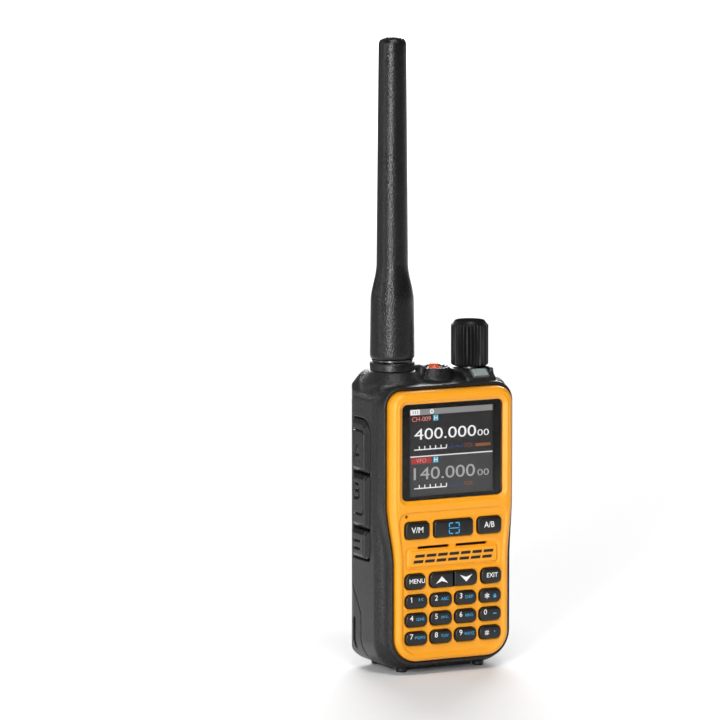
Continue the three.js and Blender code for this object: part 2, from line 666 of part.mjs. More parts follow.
// The whip: a grip sleeve, a soft shoulder and a long, slightly tapering rod with a round end.
function antennaWhip() {
  const { foot, mouth, bore, sleeve, rod, slim, tip } = WHIP;
  const { low, high } = WHIP_SHOULDER;
  const shoulder = [0.25, 0.5, 0.75].map((part) => [
    rod + (sleeve - rod) * (1 + Math.cos(Math.PI * part)) / 2,
    low + (high - low) * part,
  ]);
  const round = [25, 50, 70].map((angle) => [
    tip * Math.cos(THREE.MathUtils.degToRad(angle)),
    ANTENNA.top - 4 + 4 * Math.sin(THREE.MathUtils.degToRad(angle)),
  ]);
  return turned([
    [bore, foot], [mouth, foot], [ANTENNA.ringRadius, foot + 1], [sleeve, low], ...shoulder,
    [rod, high], [slim, 190], [tip, ANTENNA.top - 4], ...round, [0, ANTENNA.top],
    [0, 121], [bore, 121], [bore, foot],
  ], ANTENNA.x, AXIS_DEPTH, 24);
}

function knobSolid() {
  const { radius, low, high, chamfer } = KNOB;
  return turned([
    [3.1, low], [radius, low], [radius, high - chamfer], [radius - chamfer, high], [0, high],
    [0, high - 2.6], [3.1, high - 2.6], [3.1, low],
  ], KNOB.x, AXIS_DEPTH, 24);
}

const shaftSolid = () => post(2.9, 100, KNOB.high - 2.8, KNOB.x, AXIS_DEPTH, 16);

function encoderSolid() {
  return cut(
    joined(
      block(KNOB.x - 6, KNOB.x + 5.2, AXIS_DEPTH - 4.6, AXIS_DEPTH + 5, 99, 105.3),
      post(3.6, 105, 110, KNOB.x, AXIS_DEPTH, 16),
    ),
    post(3.1, 99.7, 112, KNOB.x, AXIS_DEPTH, 16),
  );
}

const torchReflector = () => turned(
  [[0, 105.9], [3.5, 105.9], [3.5, 111.6], [3.1, 111.6], [1.8, 107.4], [0, 107.4]], TORCH.x, AXIS_DEPTH,
);

const torchLed = () => turned([[0, 107.5], [1.3, 107.5], [1.3, 108.8], [0.8, 109.6], [0, 109.8]],
  TORCH.x, AXIS_DEPTH, 12);

const torchLens = () => turned(
  [[0, 111.8], [3.45, 111.8], [3.4, 112.5], [2.9, 113.4], [1.8, 114.1], [0, TORCH.top]], TORCH.x, AXIS_DEPTH,
);

const statusWindow = () => knobSeat().intersect(statusPlace(0));

// ---------------------------------------------------------------- side keys and accessory cover

function sideKeySolid({ low, high }) {
  const near = atDepth(SIDE_STRIP.front);
  const far = atDepth(SIDE_STRIP.back);
  const cap = alongX(roundedRect(near, far, low, high, 1.1), -SIDE_STRIP.outer, -SIDE_STRIP.inner);
  const stem = roundedRect(near + 0.6, far - 0.6, low + 0.3, high - 0.3, 1);
  return joined(cap, alongX(stem, -SIDE_STRIP.inner - 0.1, -SIDE_STRIP.inner + 0.6));
}

function coverPart(low, high) {
  const near = atDepth(COVER.front);
  const far = atDepth(COVER.back);
  const outline = roundedRect(near, far, COVER.low, COVER.high, 2.6);
  const whole = alongX(outline, COVER.outer - COVER.thick, COVER.outer);
  return whole.intersect(block(20, 40, 0, 30, low, high));
}

// ---------------------------------------------------------------- battery

function packSolid() {
  const shell = caseEnvelope()
    .intersect(alongX(packProfile(0), -40, 40))
    .intersect(block(-40, 40, 0, 40, CASE_LOW, PACK.high));
  const core = alongY(centredRect(PACK_BLOCK.half, PACK_BLOCK.low, PACK_BLOCK.high, 1.5), 19, 27);
  const hollow = centredRect(PACK_BLOCK.half - PACK_WALL, 10, PACK_BLOCK.high - PACK_WALL, 1);
  const feet = [-FEET.x, FEET.x].map((x) => post(FEET.radius, 0, 3, x, FEET.back, 12));
  const { depth, half, low, high, point, inner } = SIDE_SLOT;
  const slotProfile = sideProfile([
    [depth - half, low + point], [depth, low], [depth + half, low + point],
    [depth + half, high - half], [depth, high], [depth - half, high - half],
  ]);
  const sideSlots = [[-40, -inner], [inner, 40]].map(([left, right]) => alongX(slotProfile, left, right));
  return cut(joined(shell, core, ...feet), alongY(hollow, 18, CASE_DEPTH - PACK_WALL), ...sideSlots);
}

function packCover() {
  const half = PACK_BLOCK.half - PACK_WALL - GAP;
  const plate = alongY(centredRect(half, 10.3, PACK_BLOCK.high - PACK_WALL - GAP, 0.8), 19.9, 20.9);
  const pads = [-6, -2, 2, 6].map((x) => block(x - 0.9, x + 0.9, 19.6, 20, 11.5, 18.5));
  return joined(plate, ...pads);
}

function cellSolid(side) {
  const middle = side * 9.75;
  const shape = roundedRect(middle - 9.2, middle + 9.2, 12, 91, 1.5);
  return alongY(shape, 21.2, 31.2);
}

function latchSolid() {
  const { half, waist, front, back, low, high } = LATCH;
  const { front: earFront, back: earBack } = LATCH_EARS;
  const shape = polygon([
    [-waist, front], [waist, front], [waist, earFront], [half, earFront], [half, earBack], [waist, earBack],
    [waist, back], [-waist, back], [-waist, earBack], [-half, earBack], [-half, earFront], [-waist, earFront],
  ].map(([x, depth]) => [x, atDepth(depth)]));
  return alongZ(shape, low, high);
}

// ---------------------------------------------------------------- assembly

const radio = new THREE.Group();

function place(parent, name, solid, material) {
  const mesh = new THREE.Mesh(toGeometry(solid), material);
  mesh.name = name;
  parent.add(mesh);
  return mesh;
}

function assembly(build) {
  const group = new THREE.Group();
  build((name, solid, material) => place(group, name, solid, material));
  radio.add(group);
}

assembly(function casing(add) {
  add('main_housing', housingSolid(), materials.graphite);
  add('front_bezel', bezelSolid(), materials.yellow);
  add('display_window', windowSolid(), materials.glass);
  add('status_window', statusWindow(), materials.smoke);
  screwPlaces.forEach(({ name, x, z }) => add(name, screwSolid(x, z), materials.steel));
});

assembly(function electronics(add) {
  add('lcd_module', lcdSolid(), materials.lcd);
  add('keypad_mat', matSolid(), materials.silicone);
  add('speaker', speakerSolid(), materials.blackPlastic);
  add('microphone', microphoneSolid(), materials.steel);
  add('main_board', boardSolid(), materials.board);
  add('rf_shield', shieldSolid(), materials.steel);
  add('chassis_frame', chassisSolid(), materials.castMetal);
  add('side_switch_board', switchBoardSolid(), materials.board);
  add('battery_terminals', terminalSolid(), materials.brass);
  add('headset_jack', jackSolid(JACKS.headset, JACK_BORES.headset), materials.blackPlastic);
  add('microphone_jack', jackSolid(JACKS.microphone, JACK_BORES.microphone), materials.blackPlastic);
  add('usb_socket', usbSolid(), materials.steel);
});

assembly(function keys(add) {
  frontKeys.forEach((key) => add(key.name, keySolid(key), materials.keyBlack));
  SIDE_KEYS.forEach((key) => add(key.name, sideKeySolid(key), materials.rubber));
});

assembly(function topControls(add) {
  add('antenna_ring', antennaRing(), materials.blackPlastic);
  add('antenna_connector', antennaConnector(), materials.brass);
  add('antenna_collar', antennaCollar(), materials.steel);
  add('antenna_whip', antennaWhip(), materials.rubber);
  add('volume_encoder', encoderSolid(), materials.blackPlastic);
  add('volume_shaft', shaftSolid(), materials.castMetal);
  add('volume_knob', knobSolid(), materials.rubber);
  add('torch_reflector', torchReflector(), materials.reflector);
  add('torch_led', torchLed(), materials.lamp);
  add('torch_lens', torchLens(), materials.lens);
});

assembly(function accessoryPort(add) {
  add('accessory_cover', coverPart(COVER.fold + 0.15, COVER.high), materials.rubber);
  add('accessory_cover_anchor', coverPart(COVER.low, COVER.fold - 0.15), materials.rubber);
});

assembly(function battery(add) {
  add('battery_case', packSolid(), materials.graphite);
  add('battery_cover', packCover(), materials.blackPlastic);
  add('battery_cell_left', cellSolid(-1), materials.cell);
  add('battery_cell_right', cellSolid(1), materials.cell);
  add('battery_latch', latchSolid(), materials.blackPlastic);
});

export default radio;
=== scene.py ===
"""Handheld aviation radio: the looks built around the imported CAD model.

Shapes are worked out in millimetres as (x, depth, z): depth runs back from a datum plane just behind
the bezel's face, and z is the height above the surface the radio stands on. make_piece() turns them
into the frame's metres.
The case parts are signed fields, negative inside, which surface() turns into meshes.
"""

import math

import bpy
import numpy as np
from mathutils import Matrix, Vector


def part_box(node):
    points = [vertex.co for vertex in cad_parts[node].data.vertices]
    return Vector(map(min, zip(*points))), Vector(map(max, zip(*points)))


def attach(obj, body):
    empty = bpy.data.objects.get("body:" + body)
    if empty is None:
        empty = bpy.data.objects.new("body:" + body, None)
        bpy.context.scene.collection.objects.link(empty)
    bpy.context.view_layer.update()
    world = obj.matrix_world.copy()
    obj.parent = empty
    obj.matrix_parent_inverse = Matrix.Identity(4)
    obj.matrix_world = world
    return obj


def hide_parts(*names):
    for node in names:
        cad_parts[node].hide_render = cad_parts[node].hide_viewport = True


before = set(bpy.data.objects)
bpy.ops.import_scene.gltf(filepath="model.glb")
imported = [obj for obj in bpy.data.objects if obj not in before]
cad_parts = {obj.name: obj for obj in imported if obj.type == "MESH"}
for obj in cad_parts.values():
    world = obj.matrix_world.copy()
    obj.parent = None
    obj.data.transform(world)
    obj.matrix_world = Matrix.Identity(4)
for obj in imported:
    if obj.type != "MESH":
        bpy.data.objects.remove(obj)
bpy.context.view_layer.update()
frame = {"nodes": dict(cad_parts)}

MM = 0.001
CASE_BACK = 33
DATUM = CASE_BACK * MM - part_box("battery_case")[1].y


# ---------------------------------------------------------------- the frame in millimetres


class Limits:
    """The box of a CAD node in millimetres: its six sides, its centre and its half sizes."""

    def __init__(self, node):
        lowest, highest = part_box(node)
        self.left, self.right = lowest.x / MM, highest.x / MM
        self.front, self.back = (lowest.y + DATUM) / MM, (highest.y + DATUM) / MM
        self.low, self.high = lowest.z / MM, highest.z / MM
        self.x, self.half_x = (self.left + self.right) / 2, (self.right - self.left) / 2
        self.depth, self.half_depth = (self.front + self.back) / 2, (self.back - self.front) / 2
        self.z, self.half_z = (self.low + self.high) / 2, (self.high - self.low) / 2


bezel = Limits("front_bezel")
pane = Limits("display_window")
battery = Limits("battery_case")
latch = Limits("battery_latch")
ring = Limits("antenna_ring")
whip = Limits("antenna_whip")
collar = Limits("antenna_collar")
knob = Limits("volume_knob")
lens = Limits("torch_lens")
status = Limits("status_window")
microphone = Limits("microphone")
cover = Limits("accessory_cover")
anchor = Limits("accessory_cover_anchor")
headset = Limits("headset_jack")
side_keys = {name: Limits(name) for name in ("ptt_key_a", "ptt_key_b", "side_key")}
front_keys = {name: Limits(name) for name in frame["nodes"] if name.startswith("key_")}

CASE_HALF = battery.right
CASE_LOW = 1.6
CASE_TOP = 108.5
CASE_DEPTH = CASE_BACK
SEAT_TOP = ring.low - 0.1
PLATFORM_TOP = knob.low - 0.8
SEAM_GAP = 0.3


# ---------------------------------------------------------------- pieces


def make_piece(name, points, faces, finish, body, node=None, normals=None, crease=35):
    """A mesh piece from points in millimetres, riding on a body, standing for a CAD node if one is named."""
    place = np.asarray(points, float) * MM
    place[:, 1] -= DATUM
    mesh = bpy.data.meshes.new(name)
    mesh.from_pydata(place.tolist(), [], [list(map(int, face)) for face in faces])
    mesh.materials.append(finishes[finish])
    mesh.shade_smooth()
    if normals is None:
        mesh.set_sharp_from_angle(angle=math.radians(crease))
    else:
        mesh.normals_split_custom_set_from_vertices(normals.tolist())
    piece = bpy.data.objects.new(name, mesh)
    bpy.context.scene.collection.objects.link(piece)
    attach(piece, body)
    if node:
        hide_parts(node)
    return piece


def skin(rings):
    """Points and faces of a closed skin over rings of equal length, with a flat cap at each end."""
    size = len(rings[0])
    points = [point for ring_points in rings for point in ring_points]
    faces = [list(range(size))[::-1], list(range(len(points) - size, len(points)))]
    for level in range(len(rings) - 1):
        for step in range(size):
            here, after = level * size + step, level * size + (step + 1) % size
            faces.append([here, after, after + size, here + size])
    return points, faces


def turned(name, profile, x, depth, finish, body, node=None, steps=96, crease=35):
    """A turned piece about the upright axis through (x, depth), from (radius, height) pairs, low to high."""
    rings = [
        [
            (
                x + radius * math.cos(2 * math.pi * step / steps),
                depth + radius * math.sin(2 * math.pi * step / steps),
                height,
            )
            for step in range(steps)
        ]
        for radius, height in profile
    ]
    points, faces = skin(rings)
    return make_piece(name, points, faces, finish, body, node, crease=crease)


def rounded_ring(half_u, half_v, radii, steps=7):
    """Points round a rectangle with corner radii (right, left), anticlockwise."""
    right, left = (max(0.02, min(radius, half_u, half_v)) for radius in radii)
    corners = [
        (half_u - right, half_v - right, right, 0),
        (left - half_u, half_v - left, left, 90),
        (left - half_u, left - half_v, left, 180),
        (half_u - right, right - half_v, right, 270),
    ]
    return [
        (
            u + radius * math.cos(math.radians(start + 90 * step / steps)),
            v + radius * math.sin(math.radians(start + 90 * step / steps)),
        )
        for u, v, radius, start in corners
        for step in range(steps + 1)
    ]


# ---------------------------------------------------------------- fields


def round_and(a, b, radius):
    """What is inside both fields, with the edge between them rounded."""
    corner = np.hypot(np.maximum(a + radius, 0), np.maximum(b + radius, 0))
    return np.minimum(-radius, np.maximum(a, b)) + corner


def round_or(a, b, radius):
    """What is inside either field, with a fillet where they meet."""
    return -round_and(-a, -b, radius)


def round_cut(base, tool, radius):
    return round_and(base, -tool, radius)


def rounded_box(u, v, half_u, half_v, radius):
    return round_and(np.abs(u) - half_u, np.abs(v) - half_v, radius)


def span(value, low, high):
    """A slab between two values."""
    return np.abs(value - (low + high) / 2) - (high - low) / 2


def ramp(value, start, end):
    share = np.clip((value - start) / (end - start), 0, 1)
    return share * share * (3 - 2 * share)


def ridge(value, centre, width):
    return np.exp(-(((value - centre) / width) ** 2))


def cone(x, y, z, centre, low, high, base, top):
    """A cone frustum about an upright axis through centre = (x, depth)."""
    radius = base + (top - base) * np.clip((z - low) / (high - low), 0, 1)
    return np.hypot(x - centre[0], y - centre[1]) - radius


def stroke(u, v, corners):
    """Distance to a line through corners."""
    nearest = None
    for (u0, v0), (u1, v1) in zip(corners, corners[1:]):
        du, dv = u1 - u0, v1 - v0
        along = np.clip(((u - u0) * du + (v - v0) * dv) / (du * du + dv * dv), 0, 1)
        away = np.hypot(u - u0 - along * du, v - v0 - along * dv)
        nearest = away if nearest is None else np.minimum(nearest, away)
    return nearest


def arc(centre, radius, start, end, steps=8):
    """Corners of an arc, for stroke()."""
    angles = [math.radians(start + (end - start) * step / steps) for step in range(steps + 1)]
    return [(centre[0] + radius * math.cos(a), centre[1] + radius * math.sin(a)) for a in angles]


def graded(*bands):
    """Grid lines from (start, end, step) bands that follow each other."""
    lines = [np.arange(start, end - step / 2, step) for start, end, step in bands]
    return np.append(np.concatenate(lines), bands[-1][1])


def slope(field, points, reach):
    offsets = np.eye(3) * reach
    return np.stack(
        [(field(*(points + o).T) - field(*(points - o).T)) / (2 * reach) for o in offsets], 1
    )


def net_points(value, cells, axes):
    """For each mixed cell, the mean of the places where the field changes sign along its edges."""
    total = np.zeros(cells.shape)
    count = np.zeros(len(cells))
    for axis in range(3):
        others = [other for other in range(3) if other != axis]
        for pair in ((0, 0), (0, 1), (1, 0), (1, 1)):
            near = cells.copy()
            near[:, others] += pair
            far = near.copy()
            far[:, axis] += 1
            a, b = value[tuple(near.T)], value[tuple(far.T)]
            crosses = (a < 0) != (b < 0)
            share = np.where(crosses, a / np.where(crosses, a - b, 1), 0)
            start = np.stack([axes[k][near[:, k]] for k in range(3)], 1)
            end = np.stack([axes[k][far[:, k]] for k in range(3)], 1)
            total += crosses[:, None] * (start + share[:, None] * (end - start))
            count += crosses
    return total / count[:, None]


def net_faces(inside, number):
    """One quad round each grid edge that goes through the surface, facing out."""
    quads = []
    for axis in range(3):
        u, v = (axis + 1) % 3, (axis + 2) % 3
        edges = np.argwhere(np.diff(inside, axis=axis))
        fits = (edges[:, u] > 0) & (edges[:, v] > 0)
        fits &= (edges[:, u] < inside.shape[u] - 1) & (edges[:, v] < inside.shape[v] - 1)
        edges = edges[fits]
        corners = []
        for du, dv in ((-1, -1), (0, -1), (0, 0), (-1, 0)):
            cell = edges.copy()
            cell[:, u] += du
            cell[:, v] += dv
            corners.append(number[tuple(cell.T)])
        quad = np.stack(corners, 1)
        facing = inside[tuple(edges.T)]
        quad[~facing] = quad[~facing][:, ::-1]
        quads.append(quad)
    return np.concatenate(quads)


def surface(field, axes, reach=0.06, settle=4):
    """Points, quads and normals of the surface where the field is zero."""
    grid = np.meshgrid(*axes, indexing="ij", sparse=True)
    value = np.broadcast_to(field(*grid), [len(axis) for axis in axes])
    inside = value < 0
    a, b, c = inside.shape
    count = np.zeros((a - 1, b - 1, c - 1), np.uint8)
    for i, j, k in np.ndindex(2, 2, 2):
        count += inside[i : a - 1 + i, j : b - 1 + j, k : c - 1 + k]
    mixed = (count > 0) & (count < 8)
    number = np.full(mixed.shape, -1)
    number[mixed] = np.arange(mixed.sum())
    points = net_points(value, np.argwhere(mixed), axes)
    for _ in range(settle):
        steepness = slope(field, points, 0.02)
        size = np.maximum((steepness**2).sum(1), 0.1)
        move = np.clip(field(*points.T) / size, -0.25, 0.25)
        points -= move[:, None] * steepness
    normals = slope(field, points, reach)
    normals /= np.maximum(np.linalg.norm(normals, axis=1), 1e-6)[:, None]
    return points, net_faces(inside, number), normals


def field_piece(name, field, axes, finish, body, node=None):
    points, faces, normals = surface(field, axes)
    return make_piece(name, points, faces, finish, body, node, normals)


# ---------------------------------------------------------------- materials


def new_material(name, slot):
    material = bpy.data.materials.new(name)
    material.use_nodes = True
    material["slot"] = slot
    return material, material.node_tree, material.node_tree.nodes["Principled BSDF"]


def grain_texture(tree, size, detail=2.0):
    """A noise whose features are about size millimetres, fixed to the piece."""
    place = tree.nodes.new("ShaderNodeTexCoord")
    noise = tree.nodes.new("ShaderNodeTexNoise")
    noise.inputs["Scale"].default_value = 1 / (size * MM)
    noise.inputs["Detail"].default_value = detail
    tree.links.new(place.outputs["Object"], noise.inputs["Vector"])
    return noise.outputs["Fac"]


def remapped(tree, value, low, high, start=0.3, end=0.7):
    """A value from low to high as the noise goes from start to end."""
    node = tree.nodes.new("ShaderNodeMapRange")
    node.inputs["From Min"].default_value = start
    node.inputs["From Max"].default_value = end
    node.inputs["To Min"].default_value = low
    node.inputs["To Max"].default_value = high
    tree.links.new(value, node.inputs["Value"])
    return node.outputs["Result"]


def two_tone(tree, value, dark, light, start=0.3, end=0.7):
    """A colour that goes from dark to light as the noise rises."""
    ramp_node = tree.nodes.new("ShaderNodeValToRGB")
    stops = ramp_node.color_ramp.elements
    stops[0].position, stops[0].color = start, (*dark, 1)
    stops[1].position, stops[1].color = end, (*light, 1)
    tree.links.new(value, ramp_node.inputs["Fac"])
    return ramp_node.outputs["Color"]


def moulded(name, slot, colour, roughness, grain, rise, speckle=0.2, cloud=0.06, metallic=0.0,
            coat=0.0, coat_roughness=0.1, specular=0.5):
    """A moulded or cast surface: a fine grain that is raised by rise millimetres and slightly
    speckled, over a slow drift in colour and roughness."""
    material, tree, shader = new_material(name, slot)
    fine = grain_texture(tree, grain)
    slow = grain_texture(tree, 14, 3.0)
    darker = [channel * (1 - speckle) for channel in colour]
    lighter = [min(1, channel * (1 + speckle)) for channel in colour]
    speckled = two_tone(tree, fine, darker, lighter)
    drift = two_tone(tree, slow, [1 - cloud] * 3, [1, 1, 1])
    mix = tree.nodes.new("ShaderNodeMix")
    mix.data_type = "RGBA"
    mix.blend_type = "MULTIPLY"
    mix.inputs["Factor"].default_value = 1
    tree.links.new(speckled, mix.inputs["A"])
    tree.links.new(drift, mix.inputs["B"])
    tree.links.new(mix.outputs["Result"], shader.inputs["Base Color"])
    tree.links.new(remapped(tree, slow, roughness - 0.04, roughness + 0.04), shader.inputs["Roughness"])
    bump = tree.nodes.new("ShaderNodeBump")
    bump.inputs["Strength"].default_value = 1
    bump.inputs["Distance"].default_value = rise * MM
    tree.links.new(fine, bump.inputs["Height"])
    tree.links.new(bump.outputs["Normal"], shader.inputs["Normal"])
    shader.inputs["Metallic"].default_value = metallic
    shader.inputs["Specular IOR Level"].default_value = specular
    shader.inputs["Coat Weight"].default_value = coat
    shader.inputs["Coat Roughness"].default_value = coat_roughness
    return material


def clear(name, slot, colour, roughness, ior):
    """Glass or a clear moulding with faint smears in its gloss."""
    material, tree, shader = new_material(name, slot)
    smears = grain_texture(tree, 9, 4.0)
    tree.links.new(remapped(tree, smears, roughness, roughness + 0.05), shader.inputs["Roughness"])
    tree.links.new(
        two_tone(tree, smears, [channel * 0.97 for channel in colour], colour), shader.inputs["Base Color"]
    )
    shader.inputs["Transmission Weight"].default_value = 1
    shader.inputs["IOR"].default_value = ior
    return material


def lit(name, slot, colour, strength):
    """A glowing element: a mark of the display, or the torch lamp, whose glow is painted light. Its light
    varies slightly like a backlight.
    """
    material, tree, shader = new_material(name, slot)
    cells = grain_texture(tree, 6, 1.0)
    shade = two_tone(tree, cells, [channel * 0.94 for channel in colour], colour)
    tree.links.new(shade, shader.inputs["Emission Color"])
    shader.inputs["Base Color"].default_value = (0.004, 0.004, 0.004, 1)
    shader.inputs["Specular IOR Level"].default_value = 0.1
    shader.inputs["Emission Strength"].default_value = strength
    shader.inputs["Roughness"].default_value = 0.4
    return material


YELLOW = (0.9, 0.355, 0.007)
GRAPHITE = (0.014, 0.014, 0.0148)
LEGEND_BLUE = (0.04, 0.42, 0.78)

finishes = {
    "yellow": moulded("yellow_satin", "yellow_bezel", YELLOW, 0.42, 0.16, 0.006, 0.03, 0.03, coat=0.12,
                      coat_roughness=0.3),
    "graphite": moulded("graphite_grain", "graphite_case", GRAPHITE, 0.34, 0.7, 0.2, 0.6, specular=0.4),
    "pale_frame": moulded("status_frame", "graphite_case", (0.1, 0.105, 0.105), 0.4, 0.5, 0.05, 0.3),
    "key": moulded("key_black", "key_black", (0.006, 0.006, 0.0065), 0.32, 0.3, 0.008, 0.1),
    "rubber": moulded("rubber_grain", "black_rubber", (0.006, 0.006, 0.0062), 0.3, 0.6, 0.16, 0.5),
    "side_rubber": moulded("side_key_rubber", "black_rubber", GRAPHITE, 0.3, 0.4, 0.03, 0.3, specular=0.4),
    "knob": moulded("knob_rubber", "black_rubber", (0.008, 0.008, 0.0082), 0.36, 0.3, 0.012, 0.15,
                    specular=0.22),
    "dull": moulded("dull_cap", "black_rubber", (0.011, 0.011, 0.0115), 0.8, 0.3, 0.03, 0.2, specular=0.0),
    "black": moulded("black_moulding", "black_plastic", (0.01, 0.01, 0.011), 0.42, 0.3, 0.015, 0.15),
    "border": moulded("glass_border", "display_glass", (0.001, 0.001, 0.001), 0.5, 0.3, 0.002, 0.1,
                      specular=0.1),
    "steel": moulded("plated_steel", "plated_steel", (0.62, 0.62, 0.63), 0.24, 0.3, 0.004, 0.05, metallic=1),
    "dark_chrome": moulded("dark_chrome", "plated_steel", (0.16, 0.16, 0.165), 0.26, 0.3, 0.01, 0.08,
                           metallic=1),
    "brass": moulded("gold_brass", "gold_brass", (0.78, 0.55, 0.2), 0.25, 0.3, 0.004, 0.06, metallic=1),
    "cast": moulded("cast_metal", "cast_aluminium", (0.5, 0.5, 0.51), 0.5, 0.5, 0.04, 0.12, metallic=1),
    "mirror": moulded("mirror_plate", "mirror_plate", (0.9, 0.9, 0.9), 0.14, 0.5, 0.003, 0.02, metallic=1),
    "board": moulded("solder_mask", "circuit_board", (0.015, 0.1, 0.035), 0.4, 0.6, 0.02, 0.25, coat=0.3),
    "silicone": moulded("silicone", "silicone_mat", (0.11, 0.11, 0.115), 0.6, 0.4, 0.01, 0.08),
    "cell": moulded("cell_wrap", "cell_wrap", (0.03, 0.16, 0.4), 0.35, 0.5, 0.006, 0.06, coat=0.3),
    "status": moulded("status_smoke", "smoke_window", (0.27, 0.33, 0.32), 0.18, 0.5, 0.002, 0.05, coat=0.5),
    # The torch lamp's glow is painted light: an orange emission standing in for the studio light that the
    # clear lens dome keeps from it.
    "lamp": lit("lamp_dome_painted_glow", "lamp_orange", (0.74, 0.105, 0.03), 0.9),
    "white_print": moulded("white_print", "key_black", (0.88, 0.88, 0.88), 0.5, 0.2, 0.002, 0.04),
    "blue_print": moulded("blue_print", "key_black", LEGEND_BLUE, 0.5, 0.2, 0.002, 0.06),
    "dark_print": moulded("dark_print", "black_plastic", (0.006, 0.006, 0.006), 0.5, 0.2, 0.002, 0.1),
    "glass": clear("display_glass", "display_glass", (1, 1, 1), 0.0, 1.28),
    "lens": clear("lens_clear", "clear_lens", (0.96, 0.97, 0.97), 0.02, 1.45),
}
LCD_COLOURS = {
    "lcd_back": (0.022, 0.022, 0.023),
    "lcd_back_low": (0.05, 0.05, 0.051),
    "lcd_bar": (0.27, 0.27, 0.27),
    "lcd_white": (0.92, 0.92, 0.92),
    "lcd_grey": (0.4, 0.4, 0.4),
    "lcd_red": (0.42, 0.035, 0.035),
    "lcd_dark_red": (0.06, 0.012, 0.012),
    "lcd_pink": (0.75, 0.3, 0.28),
    "lcd_blue": (0.05, 0.38, 0.55),
    "lcd_navy": (0.03, 0.05, 0.16),
    "lcd_orange": (0.27, 0.09, 0.03),
}
for name, colour in LCD_COLOURS.items():
    finishes[name] = lit(name, "lcd_stack", colour, 1.0)


# ---------------------------------------------------------------- case

BEZEL_WIDE = bezel.half_x
BEZEL_WAIST = 23.5
WAIST = (41, 65)
FACE = -1.8
LIP = (0.15, 1.6)
AXIS = ring.depth
STRIP = (side_keys["ptt_key_a"].front, side_keys["ptt_key_a"].back)
STRIP_GAP = 0.45
COVER_RECESS = cover.left - SEAM_GAP
REAR_CORNER = 8.5
FOOT = {"x": 16.2, "radius": 2.1, "top": 4, "front": 9.2, "back": 29}
TORCH_BOSS_TOP = 112.9
JACK_HEIGHTS = (headset.z, 72.5)
SOCKET_HEIGHT = 60.5
DISPLAY_MIDDLE = 83.5


def bezel_half(z):
    return BEZEL_WAIST + (BEZEL_WIDE - BEZEL_WAIST) * ramp(z, *WAIST)


def bezel_edge(x, z):
    """The bezel's outline: an S-curve at each side, big corners below and smaller ones above."""
    lower = round_and(np.abs(x) - bezel_half(z), bezel.low - z, 9)
    return round_and(lower, z - bezel.high, 6)


def lip_front(z):
    """Depth of the lip round the bezel: it stands further forward beside the keypad."""
    return 0.4 + 1.8 * ramp(z, *WAIST)


def case_outline(x, z):
    lower = round_and(np.abs(x) - CASE_HALF, CASE_LOW - z, 11)
    return round_and(lower, z - CASE_TOP, 7)


def case_plan(x, y):
    """The case seen from above, with its big rear corners."""
    return round_and(np.abs(x) - CASE_HALF, y - CASE_DEPTH, REAR_CORNER)


def feet(x, y, z, depth):
    """A row of two small feet."""
    return round_and(
        np.hypot(np.abs(x) - FOOT["x"], y - depth) - FOOT["radius"], span(z, 0, FOOT["top"]), 0.5
    )


def case_shape(x, y, z):
    """The whole case without its seats: a bevel behind its front edge, which is softer beside the waist."""
    outline = case_outline(x, z)
    softness = 4.6 + 0.7 * (BEZEL_WIDE - bezel_half(z))
    front = round_and(outline, lip_front(z) + 2.2 - y, softness)
    bevel = outline * 0.6 + (lip_front(z) + 6.4 - y) * 0.8
    front = round_and(front, bevel, 1.5)
    rear = round_and(outline, y - CASE_DEPTH, 3.5)
    return np.maximum(np.maximum(front, rear), case_plan(x, y))


def pack_space(y, z, gap):
    """The battery's share of the case in side view: behind the seam, with a jog low down."""
    seam = 19 + 7 * np.clip((z - 21) / 10.7, 0, 1) - gap
    return round_and((seam - y) * 0.86, z - 101.5 - gap, 3)


def strip_shape(y, z, low, high, grow, top_corner=6.2, low_corner=1.6):
    """Side view of a recess or key in the left strip, with a big corner at its top front."""
    front, back = STRIP[0] - grow, STRIP[1] + grow
    upper = round_and(front - y, z - high - grow, top_corner)
    lower = round_and(upper, low - grow - z, low_corner)
    return round_and(lower, y - back, 1)


def shoulder_shape(x, y, z):
    """The rounded shoulder that carries the antenna's seat out to the left side."""
    top = 111.4
    slanted = (z - top - (x + 24.5) * 0.4) * 0.93
    side = round_and(round_and(-CASE_HALF - x, slanted, 7.5), x + 6.6, 2)
    fronted = round_and(side, (z - top - (y - 14) * 0.5) * 0.9, 3)
    return round_and(round_and(fronted, y - 29.5, 2.5), 7 - y, 2.5)


def right_shoulder(x, y, z):
    """The slope from the knob's platform down to the right side."""
    slanted = (z - 111.6 + (x - 20.5) * 0.5) * 0.9
    side = round_and(round_and(x - CASE_HALF, slanted, 5), 19.5 - x, 1)
    fronted = round_and(side, (z - 110.5 - (y - 12) * 0.5) * 0.9, 3)
    return round_and(round_and(fronted, y - 28, 2.5), 7 - y, 2.5)


